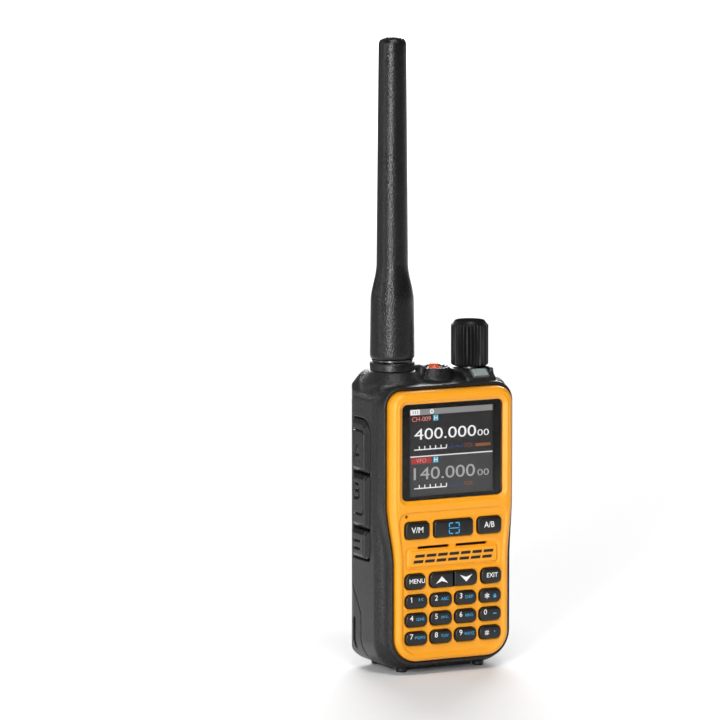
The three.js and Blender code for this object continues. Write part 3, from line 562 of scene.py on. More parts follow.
def top_seats(x, y, z):
    """The raised seats: antenna cone, torch ring, knob platform, its wall, guard bump and ridge."""
    antenna = cone(x, y, z, (ring.x, AXIS), CASE_TOP - 0.2, SEAT_TOP, 12.2, 8.5)
    antenna = round_and(antenna, z - SEAT_TOP, 0.4)
    torch = cone(x, y, z, (lens.x, AXIS), CASE_TOP, TORCH_BOSS_TOP, 7.6, 6)
    torch = round_and(torch, z - TORCH_BOSS_TOP, 0.8)
    dish = np.hypot(x - lens.x, y - AXIS) - 3.5 - 0.9 * np.clip(z - 110.9, 0, 3)
    torch = round_cut(torch, dish, 0.3)
    platform = round_and(span(x, 9, 21.6), span(y, 4.6, 29), 1.2)
    ledge = (z - PLATFORM_TOP - (y - 8.4) * 0.76) * 0.8
    platform = round_and(round_and(platform, z - PLATFORM_TOP, 0.7), ledge, 0.8)
    wall = round_and(round_and(span(x, 19.9, 21.6), span(y, 7, 26), 0.8), z - 112.6, 0.8)
    guard = np.hypot(np.hypot(x + 4.9, (y - AXIS) * 0.6), np.maximum(z - 112, 0)) - 2.4
    low_ridge = round_and(round_and(span(x, 5, 9.6), span(y, 19.5, 25), 1.2), z - TORCH_BOSS_TOP, 1.1)
    seats = round_or(round_or(antenna, platform, 0.6), torch, 0.5)
    return np.minimum(np.minimum(round_or(seats, wall, 0.4), guard), low_ridge)


def housing_field(x, y, z):
    """The main housing: case, lip, shoulders, seats and feet, less its openings and the battery."""
    edge = bezel_edge(x, z)
    lip = round_and(span(edge, *LIP), lip_front(z) - y, 0.7)
    lip = np.maximum(lip, y - 9)
    shape = round_or(case_shape(x, y, z), lip, 0.6)
    foot = CASE_TOP - 4 - z
    shape = round_or(shape, np.maximum(shoulder_shape(x, y, z), foot), 2)
    shape = round_or(shape, np.maximum(right_shoulder(x, y, z), foot), 2)
    shape = np.maximum(shape, case_plan(x, y))
    shape = round_or(shape, np.maximum(top_seats(x, y, z), foot), 0.6)
    shape = round_or(shape, feet(x, y, z, FOOT["front"]), 0.4)
    shape = round_cut(shape, np.maximum(edge - 0.15, y - 4.9), 0.15)
    shape = np.maximum(shape, -np.maximum(edge + 1.6, y - 8.2))
    strip = strip_shape(y, z, side_keys["side_key"].low, side_keys["ptt_key_a"].high, STRIP_GAP)
    shape = round_cut(shape, np.maximum(strip, x + 24.3), 0.45)
    port = rounded_box(y - cover.depth, z - (anchor.low + cover.high + 3) / 2,
                       cover.half_depth + SEAM_GAP, (cover.high + 3.3 - anchor.low) / 2, 2.8)
    shape = round_cut(shape, np.maximum(port, COVER_RECESS - x), 0.5)
    channel = np.hypot(x - CASE_HALF - 4.6, y - 22.6) - 5.7
    shape = round_cut(shape, round_and(channel, span(z, 36, 98), 3), 0.7)
    for z_jack in JACK_HEIGHTS:
        shape = np.maximum(shape, -np.maximum(np.hypot(y - headset.depth, z - z_jack) - 3, 22 - x))
    socket = rounded_box(y - headset.depth, z - SOCKET_HEIGHT, 2.1, 5, 1.8)
    shape = np.maximum(shape, -np.maximum(socket, 18 - x))
    bay = np.maximum(rounded_box(x, z - 51, 21.4, 44, 2), 18.5 - y)
    shape = round_cut(shape, bay, 0.3)
    shape = round_cut(shape, pack_space(y, z, SEAM_GAP), 0.4)
    for x_hole, radius in ((ring.x, 4.7), (knob.x, 3.8)):
        shape = np.maximum(shape, -np.maximum(np.hypot(x - x_hole, y - AXIS) - radius, 100 - z))
    return np.maximum(shape, -np.maximum(np.hypot(x - lens.x, y - AXIS) - 3.7, 104 - z))


def battery_field(x, y, z):
    """The battery case: a shell open at its front, with side slots and a label outline on its back."""
    shape = np.maximum(case_shape(x, y, z), z - battery.high)
    shape = round_and(shape, pack_space(y, z, 0), 0.45)
    core = round_and(rounded_box(x, z - 51.25, 21, 42.75, 1.5), span(y, 19, 27), 0.4)
    shape = np.minimum(shape, core)
    shape = round_or(shape, feet(x, y, z, FOOT["back"]), 0.4)
    hollow = np.maximum(rounded_box(x, z - 51.3, 19.6, 41.3, 1), y - CASE_DEPTH + 1.6)
    shape = np.maximum(shape, -hollow)
    slot = rounded_box(y - 24.6, z - 12.2 + 0.4 * (y - 24.6), 0.75, 7.2, 0.7)
    shape = round_cut(shape, np.maximum(slot, 26.4 - np.abs(x)), 0.2)
    label = rounded_box(x, z - 56, 19, 31, 2)
    return shape + 0.12 * ridge(label, 0, 0.35) * (y > 30)


def case_pieces():
    housing_axes = (
        graded((-29, 29, 0.42)),
        graded((-0.8, 7, 0.34), (7, 11, 0.55), (11, 34, 0.55)),
        graded((-0.6, 8, 0.45), (8, 40, 1), (40, 65, 0.6), (65, 90, 1), (90, 103, 0.5), (103, 115.6, 0.36)),
    )
    field_piece("main_housing_shell", housing_field, housing_axes, "graphite", "radio_body", "main_housing")
    battery_axes = (
        graded((-29, 29, 0.5)),
        graded((18, 34, 0.5)),
        graded((-0.6, 8, 0.5), (8, 92, 0.8), (92, 103, 0.5)),
    )
    field_piece("battery_case_shell", battery_field, battery_axes, "graphite", "battery_pack", "battery_case")


# ---------------------------------------------------------------- bezel

PLATE = (40.9, 47.3)


def key_corner(name):
    """The corner radius of a key: the upper row is squarer, the scan key most of all."""
    return {"key_scan": 1.1, "key_vm": 1.6, "key_ab": 1.6}.get(name, 2.0)


def key_openings(x, z):
    """The openings in front of the keys, as one outline field. Up and down share one."""
    wide = front_keys["key_up"]
    nearest = rounded_box(x, z - wide.z, front_keys["key_down"].right + 0.05, wide.half_z + 0.05, 2.1)
    for name, key in front_keys.items():
        if name in ("key_up", "key_down"):
            continue
        corner = key_corner(name) + 0.15
        opening = rounded_box(x - key.x, z - key.z, key.half_x - 0.2, key.half_z - 0.2, corner)
        nearest = np.minimum(nearest, opening)
    return nearest


def bezel_relief(x, z, edge):
    """How far the bezel's face lies behind its front plane."""
    groove = 0.14 * ridge(edge, -2.3, 0.28)
    keypad = round_and(edge + 2.1, z - 61.9, 4.5)
    dish = 0.55 * ramp(-keypad, 0, 0.9)
    plate = rounded_box(x, z - sum(PLATE) / 2, 18.2, 2.9, 0.8)
    raised = 0.5 * ramp(-plate, -0.3, 0.15) - 0.35 * ridge(plate, 0.95, 0.5)
    glass = rounded_box(x, z - pane.z, pane.half_x + 0.15, pane.half_z + 0.15, 2)
    frame_slope = 0.85 * (1 - np.clip((glass - 0.1) / 1.35, 0, 1)) - 0.1 * ridge(glass, 1.75, 0.35)
    bead = 0.1 * ridge(key_openings(x, z), 0.55, 0.3)
    return groove + dish - raised + frame_slope - bead


def bezel_field(x, y, z):
    """The yellow bezel, less its seats, key openings, display opening, sound slots and microphone hole."""
    edge = bezel_edge(x, z)
    face = FACE + bezel_relief(x, z, edge) - y
    shape = round_and(edge, face, 1.8 + 0.9 * ramp(z, *WAIST))
    shape = round_and(shape, y - bezel.back, 0.3)
    shape = round_cut(shape, key_openings(x, z), 0.3)
    pad_back = np.maximum(rounded_box(x, z - 35.55, 21.3, 27.35, 4), FACE + 2 - y)
    glass_back = np.maximum(rounded_box(x, z - DISPLAY_MIDDLE, 22.6, 19.5, 3), 0.9 - y)
    seat = rounded_box(x, z - pane.z, pane.half_x + 0.12, pane.half_z + 0.12, 2)
    seat = np.maximum(seat, y - pane.back - 0.2)
    sight = rounded_box(x, z - DISPLAY_MIDDLE, 17.8, 16.8, 1)
    slots = np.maximum(span(np.abs(x), 1.4, 14.5), span(z, 47.6, 48.65))
    hole = np.hypot(x - microphone.x, z - microphone.z) - 0.6
    for opening in (pad_back, glass_back, seat, sight, slots, hole):
        shape = np.maximum(shape, -opening)
    return shape


def strip_bars():
    """A row of plain slanted double bars on the name strip."""
    wide, tall, lean, pitch, bars = 3.9, 1.05, 0.3, 4.8, 7
    back, front = FACE + 0.3, FACE + 0.05 - 0.14
    for count in range(bars):
        x = (count - (bars - 1) / 2) * pitch
        for level in (-1, 1):
            middle = 1.05 * level
            corners = [
                (x + side * wide / 2 + lean * (middle + rise), middle + rise)
                for side, rise in ((-1, -tall / 2), (1, -tall / 2), (1, tall / 2), (-1, tall / 2))
            ]
            rings = [[(u, depth, sum(PLATE) / 2 + v) for u, v in corners] for depth in (back, front)]
            points, faces = skin(rings)
            tag = "low" if level < 0 else "high"
            name = f"name_strip_bar_{count + 1}_{tag}"
            make_piece(name, points, faces, "dark_print", "radio_body")


def bezel_piece():
    axes = (
        graded((-26, 26, 0.32)),
        graded((-2.8, 1.9, 0.3), (1.9, 5.2, 0.45)),
        graded((4.6, 107.2, 0.32)),
    )
    field_piece("front_bezel_shell", bezel_field, axes, "yellow", "radio_body", "front_bezel")
    strip_bars()


# ---------------------------------------------------------------- display


def flat_plate(name, x, z, half_x, half_z, front, back, finish, corner=0.05, edge=0.0, node=None):
    """A plate that faces forward, with its front edge rounded over if edge is given."""
    levels = [(0, back), (0, front + edge)]
    for angle in (22.5, 45, 67.5, 90) if edge else ():
        turn = math.radians(angle)
        levels.append((edge * (1 - math.cos(turn)), front + edge * (1 - math.sin(turn))))
    rings = [
        [
            (x + u, depth, z + v)
            for u, v in rounded_ring(half_x - inset, half_z - inset, [corner - inset] * 2)
        ]
        for inset, depth in levels
    ]
    points, faces = skin(rings)
    return make_piece(name, points, faces, finish, "radio_body", node, crease=50)


def lettering(name, words, x, z, height, front, finish, body, width, weight, thick=0.03):
    """Thin solid letters that face forward, centred on (x, z), stretched to width unless it is None."""
    curve = bpy.data.curves.new(name, "FONT")
    curve.body = words
    curve.offset = weight
    curve.extrude = 0.5
    curve.resolution_u = 4
    text = bpy.data.objects.new(name, curve)
    mesh = bpy.data.meshes.new_from_object(text)
    flat = np.array([vertex.co for vertex in mesh.vertices])
    low, high = flat.min(0), flat.max(0)
    scale_v = height / (high[1] - low[1])
    scale_u = width / (high[0] - low[0]) if width else scale_v
    u = (flat[:, 0] - (low[0] + high[0]) / 2) * scale_u
    v = (flat[:, 1] - (low[1] + high[1]) / 2) * scale_v
    points = np.stack([x + u, front - flat[:, 2] * thick, z + v], 1)
    faces = [list(face.vertices) for face in mesh.polygons]
    bpy.data.objects.remove(text)
    make_piece(name, points, faces, finish, body)


SCREEN = {"left": -16.85, "right": 17.55, "low": 67.3, "high": 99.7}
SCREEN_FRONT = 0.94
LAYER = 0.03
BAR_THICK = 0.02


def on_screen(across, down):
    """A place on the display from shares of its width and height, counted from the top left."""
    width = SCREEN["right"] - SCREEN["left"]
    height = SCREEN["high"] - SCREEN["low"]
    return SCREEN["left"] + width * across, SCREEN["high"] - height * down


def screen_bar(name, left, right, top, bottom, finish, layer=0):
    """A filled bar on the display, between shares of its width and height."""
    x0, z0 = on_screen(left, top)
    x1, z1 = on_screen(right, bottom)
    front = SCREEN_FRONT - LAYER * (layer + 1)
    middle_x, middle_z = (x0 + x1) / 2, (z0 + z1) / 2
    flat_plate(name, middle_x, middle_z, (x1 - x0) / 2, (z0 - z1) / 2, front, front + BAR_THICK, finish)


def screen_words(name, words, left, right, top, bottom, finish, weight=0.0, layer=1):
    """Words on the display that fill a box between shares of its width and height."""
    x0, z0 = on_screen(left, top)
    x1, z1 = on_screen(right, bottom)
    front = SCREEN_FRONT - LAYER * (layer + 1)
    middle_x, middle_z = (x0 + x1) / 2, (z0 + z1) / 2
    lettering(name, words, middle_x, middle_z, z0 - z1, front, finish, "radio_body", x1 - x0, weight, 0.02)


def signal_meter(name, top):
    """A row of white ticks on a bar, followed by blue ones."""
    screen_bar(f"{name}_line", 0.045, 0.44, top + 0.022, top + 0.034, "lcd_white")
    for count in range(6):
        left = 0.11 + 0.066 * count
        tick = f"{name}_tick_{count + 1}"
        screen_bar(tick, left - 0.008, left + 0.004, top - 0.012, top + 0.022, "lcd_white")
    screen_bar(f"{name}_over_line", 0.455, 0.63, top + 0.018, top + 0.028, "lcd_navy")
    for count in range(3):
        left = 0.5 + 0.062 * count
        tick = f"{name}_over_tick_{count + 1}"
        screen_bar(tick, left, left + 0.012, top - 0.008, top + 0.02, "lcd_navy")


def display_piece():
    extent = (pane.half_x, pane.half_z, pane.front, pane.back)
    flat_plate("display_pane", pane.x, pane.z, *extent, "glass", 2, 0.25, "display_window")
    middle = (SCREEN["low"] + SCREEN["high"]) / 2
    half_x, half_z = SCREEN["right"], (SCREEN["high"] - SCREEN["low"]) / 2
    depth = pane.back + 0.06
    outer = rounded_ring(pane.half_x - 0.1, pane.half_z - 0.1, (1.8, 1.8))
    inner = [(u, middle - pane.z + v) for u, v in rounded_ring(half_x, half_z, (0.1, 0.1))]
    loops = [(outer, depth), (outer, depth + 0.08), (inner, depth + 0.08), (inner, depth)]
    points = [(u, level, pane.z + v) for loop, level in loops for u, v in loop]
    size = len(outer)
    faces = [
        [a * size + k, a * size + (k + 1) % size, b * size + (k + 1) % size, b * size + k]
        for a, b in ((1, 0), (2, 1), (3, 2), (0, 3))
        for k in range(size)
    ]
    make_piece("display_border", points, faces, "border", "radio_body")
    screen_bar("screen_upper", 0, 1, 0.07, 0.55, "lcd_back", layer=-1)
    screen_bar("screen_lower", 0, 1, 0.55, 1, "lcd_back_low", layer=-1)
    screen_bar("screen_status", 0, 1, 0, 0.07, "lcd_bar", layer=-1)
    screen_bar("screen_rule", 0, 1, 0.54, 0.552, "lcd_white")
    screen_bar("battery_symbol", 0.0, 0.115, 0.006, 0.066, "lcd_white")
    for count in range(3):
        left = 0.028 + 0.028 * count
        screen_bar(f"battery_symbol_bar_{count + 1}", left, left + 0.009, 0.018, 0.054, "lcd_bar", layer=1)
    screen_words("lock_symbol", "o", 0.235, 0.285, 0.008, 0.062, "lcd_white", 0.03)
    screen_bar("channel_tag", 0.01, 0.255, 0.078, 0.152, "lcd_dark_red")
    screen_words("channel_words", "CH-009", 0.02, 0.245, 0.09, 0.142, "lcd_pink", -0.006, layer=2)
    for level, top in (("upper", 0.078), ("lower", 0.56)):
        screen_bar(f"power_tag_{level}", 0.277, 0.338, top, top + 0.068, "lcd_blue")
        words = f"power_words_{level}"
        screen_words(words, "H", 0.288, 0.327, top + 0.01, top + 0.058, "lcd_white", 0.004, layer=2)
    screen_words("frequency_upper", "400.000", 0.048, 0.798, 0.226, 0.354, "lcd_white", 0.0)
    screen_words("frequency_upper_fine", "00", 0.815, 0.955, 0.282, 0.354, "lcd_white", -0.002)
    signal_meter("meter_upper", 0.44)
    screen_words("squelch_words_upper", "SQL", 0.655, 0.77, 0.43, 0.48, "lcd_orange", -0.008)
    screen_bar("squelch_bar", 0.79, 0.975, 0.44, 0.475, "lcd_orange")
    screen_bar("mode_tag", 0.01, 0.255, 0.562, 0.628, "lcd_red")
    screen_words("mode_words", "VFO", 0.07, 0.19, 0.572, 0.618, "lcd_pink", -0.006, layer=2)
    screen_words("frequency_lower", "140.000", 0.04, 0.785, 0.675, 0.815, "lcd_grey", 0.001)
    screen_words("frequency_lower_fine", "00", 0.815, 0.955, 0.742, 0.815, "lcd_grey", -0.002)
    signal_meter("meter_lower", 0.885)
    screen_words("squelch_words_lower", "SQL", 0.655, 0.77, 0.87, 0.92, "lcd_orange", -0.008)


# ---------------------------------------------------------------- front keys


def key_piece(name, key):
    """A key: flange behind the panel, straight sides, a rounded rim and a flat top."""
    shares = name in ("key_up", "key_down")
    flange = 0.1 if shares else 0.35
    left, right = key.left + flange, key.right - flange
    half_x, half_z = (right - left) / 2, key.half_z - flange
    right_corner = 0.4 if name == "key_up" else key_corner(name)
    left_corner = 0.4 if name == "key_down" else key_corner(name)
    rim = 0.7
    levels = [(-flange, key.back), (-flange, key.back - 0.5), (0, key.back - 0.5), (0, key.front + rim)]
    levels += [
        (rim * (1 - math.cos(math.radians(angle))), key.front + rim * (1 - math.sin(math.radians(angle))))
        for angle in (15, 30, 45, 60, 75, 90)
    ]
    rings = [
        [
            (key.x + u, depth, key.z + v)
            for u, v in rounded_ring(
                half_x - inset, half_z - inset, (right_corner - inset, left_corner - inset)
            )
        ]
        for inset, depth in levels
    ]
    points, faces = skin(rings)
    make_piece(f"{name}_cap", points, faces, "key", name, name, crease=40)


def printed(key_name, words, across, height, finish, tag, weight, rise, width=None):
    """A printed legend on a key; across runs from -1 at its left to 1 at its right."""
    key = front_keys[key_name]
    x, front = key.x + across * key.half_x, key.front - 0.02
    lettering(f"{key_name}_{tag}", words, x, key.z + rise, height, front, finish, key_name, width, weight)


def chevron(key_name, direction):
    """A broad arrowhead with a notched base that points up or down."""
    key = front_keys[key_name]
    outline = [(-2.6, -1.3), (0, -0.4), (2.6, -1.3), (0, 1.35)]
    places = [(direction * u, direction * v) for u, v in outline]
    levels = (key.front + 0.05, key.front - 0.03)
    rings = [[(key.x + u, depth, key.z + v) for u, v in places] for depth in levels]
    points, faces = skin(rings)
    make_piece(f"{key_name}_arrow", points, faces, "white_print", key_name)


def ribbon(name, key, line, width, finish="blue_print"):
    """A flat line on a key's top; width is measured from its middle to its edge."""
    path = [Vector(place) for place in line]
    edges = []
    for count, place in enumerate(path):
        before, after = path[max(count - 1, 0)], path[min(count + 1, len(path) - 1)]
        along = (after - before).normalized()
        edges.append((place, Vector((-along.y, along.x)) * width))
    outline = [place - side for place, side in edges] + [place + side for place, side in edges[::-1]]
    levels = (key.front + 0.05, key.front - 0.03)
    rings = [[(key.x + p.x, depth, key.z + p.y) for p in outline] for depth in levels]
    points, faces = skin(rings)
    make_piece(name, points, faces, finish, name.split("_mark")[0])


def bracket_mark(key_name):
    """Four rounded corner brackets and a dash: the scan symbol."""
    key = front_keys[key_name]
    width = 0.2
    for side_x in (-1, 1):
        for side_z in (-1, 1):
            bend = [(side_x * u, side_z * v) for u, v in arc((1.6, 1.45), 0.5, 0, 90, 2)]
            line = [(side_x * 2.1, side_z * 0.55), *bend, (side_x * 0.55, side_z * 1.95)]
            tag = ("l" if side_x < 0 else "r") + ("d" if side_z < 0 else "u")
            ribbon(f"{key_name}_mark_{tag}", key, line, width)
    ribbon(f"{key_name}_mark_dash", key, [(-2.1, 0), (2.1, 0)], width * 0.8)


def sign_marks():
    """The star, the hash sign, a padlock and small dashes, from straight strokes."""
    star, hash_key = front_keys["key_star"], front_keys["key_hash"]
    for count in range(3):
        turn = math.radians(30 + 60 * count)
        u, v = 1.05 * math.cos(turn), 1.05 * math.sin(turn)
        line = [(-1.6 - u, 0.1 - v), (-1.6 + u, 0.1 + v)]
        ribbon(f"key_star_mark_{count + 1}", star, line, 0.19, "white_print")
    for count, offset in enumerate((-0.35, 0.35)):
        upright = [(-1.6 + offset - 0.08, -0.9), (-1.6 + offset + 0.08, 0.9)]
        level = [(-2.5, offset), (-0.7, offset)]
        ribbon(f"key_hash_mark_upright_{count + 1}", hash_key, upright, 0.15, "white_print")
        ribbon(f"key_hash_mark_level_{count + 1}", hash_key, level, 0.15, "white_print")
    ribbon("key_star_mark_lock", star, [(1.15, -0.35), (2.25, -0.35)], 0.42)
    ribbon("key_star_mark_shackle", star, [(1.35, 0), *arc((1.7, 0.2), 0.36, 180, 0), (2.05, 0)], 0.1)
    for name, line in (("key_1", [(0.9, 0.3), (0.9, 1.3)]), ("key_0", [(1.0, 0.2), (2.4, 0.2)]),
                       ("key_hash", [(1.6, 0.1), (1.75, 0.65)])):
        ribbon(f"{name}_mark_small", front_keys[name], line, 0.16)
    ribbon("key_1_mark_turn", front_keys["key_1"], [(2.5, 1.3), (1.7, 0.8), (2.5, 0.3)], 0.12)
    ribbon("key_1_mark_flag", front_keys["key_1"], [(-2.65, 1.35), (-2.15, 1.8)], 0.15, "white_print")


LETTERS = {
    "key_2": "ABC", "key_3": "DEF", "key_4": "GHI", "key_5": "JKL",
    "key_6": "MNO", "key_7": "PQRS", "key_8": "TUV", "key_9": "WXYZ",
}
WORDS = {
    "key_vm": ("V/M", 4.9, 2.2, -0.06),
    "key_ab": ("A/B", 4.3, 2.2, -0.06),
    "key_menu": ("MENU", 6.5, 1.7, 0.1),
    "key_exit": ("EXIT", 4.6, 1.7, 0.05),
}


def key_pieces():
    for name, key in front_keys.items():
        key_piece(name, key)
    for name, (words, width, height, across) in WORDS.items():
        printed(name, words, across, height, "white_print", "legend", width=width, weight=0.006, rise=0.3)
    bracket_mark("key_scan")
    chevron("key_up", 1)
    chevron("key_down", -1)
    for digit in "1234567890":
        printed(f"key_{digit}", digit, -0.47, 2.0, "white_print", "digit", weight=0.006, rise=0.95)
    for name, words in LETTERS.items():
        width = 1.05 * len(words) + 0.1
        printed(name, words, 0.26, 1.1, "blue_print", "letters", width=width, weight=-0.002, rise=0.4)
    sign_marks()


# ---------------------------------------------------------------- side keys and accessory cover

GLYPH_A = [[(-2.4, -2.9), (0, 2.9), (2.4, -2.9)], [(-1.5, -0.9), (1.5, -0.9)]]
GLYPH_B = [
    [(-1.9, -2.7), (-1.9, 2.7), (0.5, 2.7), (1.5, 2.2), (1.8, 1.4), (1.5, 0.5), (0.5, 0.1)],
    [(-1.9, 0.1), (0.5, 0.1), (1.7, -0.4), (2.1, -1.3), (1.7, -2.2), (0.5, -2.7), (-1.9, -2.7)],
]
DASHES = [[(-2.6, 1.4), (2.2, 1.4)], [(-2.6, -1.5), (2.2, -1.5)]]


def side_key_field(limits, glyph, glyph_z, top_corner, low_corner, frame):
    """A key in the left strip with a bevelled front edge, an engraved frame and an engraved sign."""
    glyph_depth = limits.depth + 2

    def field(x, y, z):
        flat = strip_shape(y, z, limits.low, limits.high, 0, top_corner, low_corner)
        inner = round_and(round_and(limits.front + 2.9 - y, z - frame[1], 2.4), frame[0] - z, 2.4)
        bevel = (limits.left - x + np.maximum(flat + 1.5, 0) * 0.8) * 0.8
        shape = round_and(np.maximum(flat, bevel), x + 24.7, 0.3)
        cut = 0.6 * ridge(inner, 0, 0.3) * (flat < -0.3)
        for line in glyph:
            away = stroke(-(y - glyph_depth), z - glyph_z, line)
            cut = cut + 0.7 * ridge(away, 0, 0.3)
        return shape + cut * (x < limits.left + 1.5)

    return field


def side_pieces():
    details = {
        "ptt_key_a": (GLYPH_A, 82.2, 6, 1.1, (60, 90.6)),
        "ptt_key_b": (GLYPH_B, 67.7, 1.1, 1.1, (59.2, 90)),
        "side_key": (DASHES, 47.6, 1.1, 3, (30, 70)),
    }
    for name, (glyph, glyph_z, top_corner, low_corner, frame) in details.items():
        limits = side_keys[name]
        axes = (
            graded((limits.left - 0.6, -24, 0.28)),
            graded((limits.front - 0.8, limits.back + 0.8, 0.22)),
            graded((limits.low - 0.8, limits.high + 0.8, 0.22)),
        )
        field = side_key_field(limits, glyph, glyph_z, top_corner, low_corner, frame)
        field_piece(f"{name}_pad", field, axes, "side_rubber", name, name)


def cover_field(limits, rounded_top, rounded_low, signs):
    """A rubber flap on the right side with an engraved frame and engraved signs."""

    def field(x, y, z):
        side = span(y, limits.front, limits.back)
        upper = round_and(side, z - limits.high, 2.6 if rounded_top else 0.3)
        outline = round_and(upper, limits.low - z, 2.6 if rounded_low else 0.3)
        shape = round_and(outline, x - limits.right, 0.7)
        shape = round_and(shape, limits.left - x, 0.2)
        cut = 0.25 * ridge(outline, -1.7, 0.25)
        for line in signs:
            cut = cut + 0.3 * ridge(stroke(y - limits.depth, z - limits.z, line), 0, 0.24)
        return shape + cut * (x > limits.right - 0.6)

    return field


def cover_pieces():
    band = [[(-2.6, 12), *arc((0, 14), 2.6, 180, 0), (2.6, 12)]]
    band += [[(side, 12), (side, 10)] for side in (-2.6, 2.6)]
    jack = [[(0, -2), (0, 3.5)], arc((0, 5), 1.4, -90, 270, 12)]
    for limits, name, body, ends, signs in (
        (cover, "accessory_cover", "accessory_cover", (True, False), band + jack),
        (anchor, "accessory_cover_anchor", "radio_body", (False, True), []),
    ):
        axes = (
            graded((limits.left - 0.5, limits.right + 0.6, 0.28)),
            graded((limits.front - 0.7, limits.back + 0.7, 0.3)),
            graded((limits.low - 0.7, limits.high + 0.7, 0.3)),
        )
        field = cover_field(limits, *ends, signs)
        field_piece(f"{name}_flap", field, axes, "side_rubber", body, name)


# ---------------------------------------------------------------- top controls


def whip_profile():
    """Radius against height: a grip sleeve, a soft shoulder and a slightly tapering rod."""
    mouth, foot, sleeve, rod, tip, dome = 4.8, 8.3, 8.05, 5.85, 5.2, 3.2
    foot_top, shoulder_low, shoulder_high = whip.low + 1.4, 138, 152.7
    rod_top = whip.high - dome
    rows = [(mouth, whip.low), (7.5, whip.low), (7.9, whip.low + 0.15), (8.2, whip.low + 0.6)]
    rows.append((foot, foot_top))
    for step in range(1, 13):
        share = step / 12
        rows.append((foot + (sleeve - foot) * share, foot_top + (shoulder_low - foot_top) * share))
    for step in range(1, 17):
        share = step / 16
        eased = (1 - math.cos(math.pi * share)) / 2
        rows.append((sleeve + (rod - sleeve) * eased, shoulder_low + (shoulder_high - shoulder_low) * share))
    for step in range(1, 25):
        share = step / 24
        rows.append((rod + (tip - rod) * share, shoulder_high + (rod_top - shoulder_high) * share))
    for angle in (15, 30, 45, 60, 72, 82):
        turn = math.radians(angle)
        rows.append((tip - dome * (1 - math.cos(turn)), rod_top + dome * math.sin(turn)))
    rows.append((tip - dome, whip.high))
    return rows


def knob_piece():
    """The knob: flutes round its side, a smooth sloping shoulder and a dull sunk cap."""
    flutes, per_flute = 30, 8
    steps = flutes * per_flute
    radius, chamfer, cap = knob.half_x, 1.6, 5.1
    side_top = knob.high - chamfer

    def ring_at(base, height, depth):
        points = []
        for step in range(steps):
            turn = 2 * math.pi * step / steps
            wave = abs((step % per_flute) / per_flute - 0.5) * 2
            r = base - depth * min(1, max(0, wave * 2 - 0.75))
            points.append((knob.x + r * math.cos(turn), AXIS + r * math.sin(turn), height))
        return points

    flute = 0.62
    rings = [ring_at(3.2, knob.low, 0), ring_at(radius - 0.7, knob.low, 0)]
    rings += [ring_at(radius - 0.2, knob.low + 0.3, 0.2)]
    for share in (0, 0.33, 0.66, 1):
        rings.append(ring_at(radius, knob.low + 0.8 + (side_top - knob.low - 1.3) * share, flute))
    rings += [ring_at(radius - 0.05, side_top - 0.15, 0.4), ring_at(radius - 0.35, side_top + 0.1, 0)]
    rings += [ring_at(radius - 0.6, side_top + 0.3, 0), ring_at(cap + 0.5, knob.high - 0.15, 0)]
    rings += [ring_at(cap + 0.4, knob.high - 0.3, 0), ring_at(0.5, knob.high - 0.32, 0)]
    points, faces = skin(rings)
    make_piece("volume_knob_grip", points, faces, "knob", "volume_control", "volume_knob", crease=40)
    turned("volume_knob_cap", [
        (0.2, knob.high - 0.28), (cap + 0.38, knob.high - 0.28), (cap + 0.38, knob.high - 0.14),
        (cap + 0.1, knob.high), (0.2, knob.high),
    ], knob.x, AXIS, "dull", "volume_control")


def top_pieces():
    """The antenna with its collar and seat ring, the knob, the torch and the status window."""
    turned("antenna_whip_rod", whip_profile(), whip.x, AXIS, "rubber", "antenna", "antenna_whip", 128)
    r = ring.half_x
    turned("antenna_seat_ring", [
        (4.7, ring.low), (r - 0.15, ring.low), (r, ring.low + 0.15), (r, ring.high - 0.6),
        (r - 0.15, ring.high - 0.25), (r - 0.5, ring.high), (4.7, ring.high),
    ], ring.x, AXIS, "rubber", "radio_body", "antenna_ring", 128)
    c, lip = collar.half_x, collar.low + 0.8
    turned("antenna_collar_ring", [
        (3.5, collar.low), (c - 0.2, collar.low), (c, collar.low + 0.15), (c, lip - 0.2), (c - 0.15, lip),
        (4.5, lip), (4.5, collar.high), (3.5, collar.high),
    ], collar.x, AXIS, "dark_chrome", "antenna", "antenna_collar", 128)
    knob_piece()
    turned("torch_reflector_cup", [
        (0.2, 105.9), (3.5, 105.9), (3.5, 111.5), (3.3, 111.7), (3.0, 111.4), (2.6, 109.6), (1.9, 108),
        (0.2, 107.4),
    ], lens.x, AXIS, "mirror", "radio_body", "torch_reflector", 64)
    # The torch lamp's orange glow is painted light, given by its emitting finish rather than by light
    # reaching it through the lens.
    turned("torch_lamp", [
        (0.3, 107.5), (2.0, 107.6), (2.05, 110), (2.05, 112.4), (1.9, 113.1), (1.5, 113.7), (0.9, 114.05),
        (0.2, 114.15),
    ], lens.x, AXIS, "lamp", "radio_body", "torch_led", 48, crease=60)
    turned("torch_lens_dome", [
        (0.2, 114.22), (1.0, 114.12), (1.65, 113.75), (2.1, 113.0), (2.2, 111.8), (3.3, 111.8), (3.45, 112),
        (3.35, 112.5), (2.8, 113.3), (1.9, 114.1), (1.0, 114.4), (0.2, 114.48),
    ], lens.x, AXIS, "lens", "radio_body", "torch_lens", 64, crease=60)
    status_piece()


def status_piece():
    """The small window on the platform's sloping front, with a pale frame under it."""
    centre = np.array([status.x, 6.7, 110.8])
    up = np.array([0, 0.795, 0.607])
    out = np.array([0, -0.607, 0.795])

    def plate(name, half_u, half_v, low, high, finish, node=None):
        rings = [
            [
                tuple(centre + np.array([u, 0, 0]) + up * v + out * level)
                for u, v in rounded_ring(half_u - inset, half_v - inset, [0.7 - inset] * 2)
            ]
            for level, inset in ((low, 0), (high - 0.15, 0), (high, 0.15))
        ]
        points, faces = skin(rings)
        make_piece(name, points, faces, finish, "radio_body", node)

    plate("status_window_frame", 3.5, 2.25, -0.4, 0.3, "pale_frame")
    plate("status_window_pane", 2.95, 1.75, -0.3, 0.55, "status", "status_window")


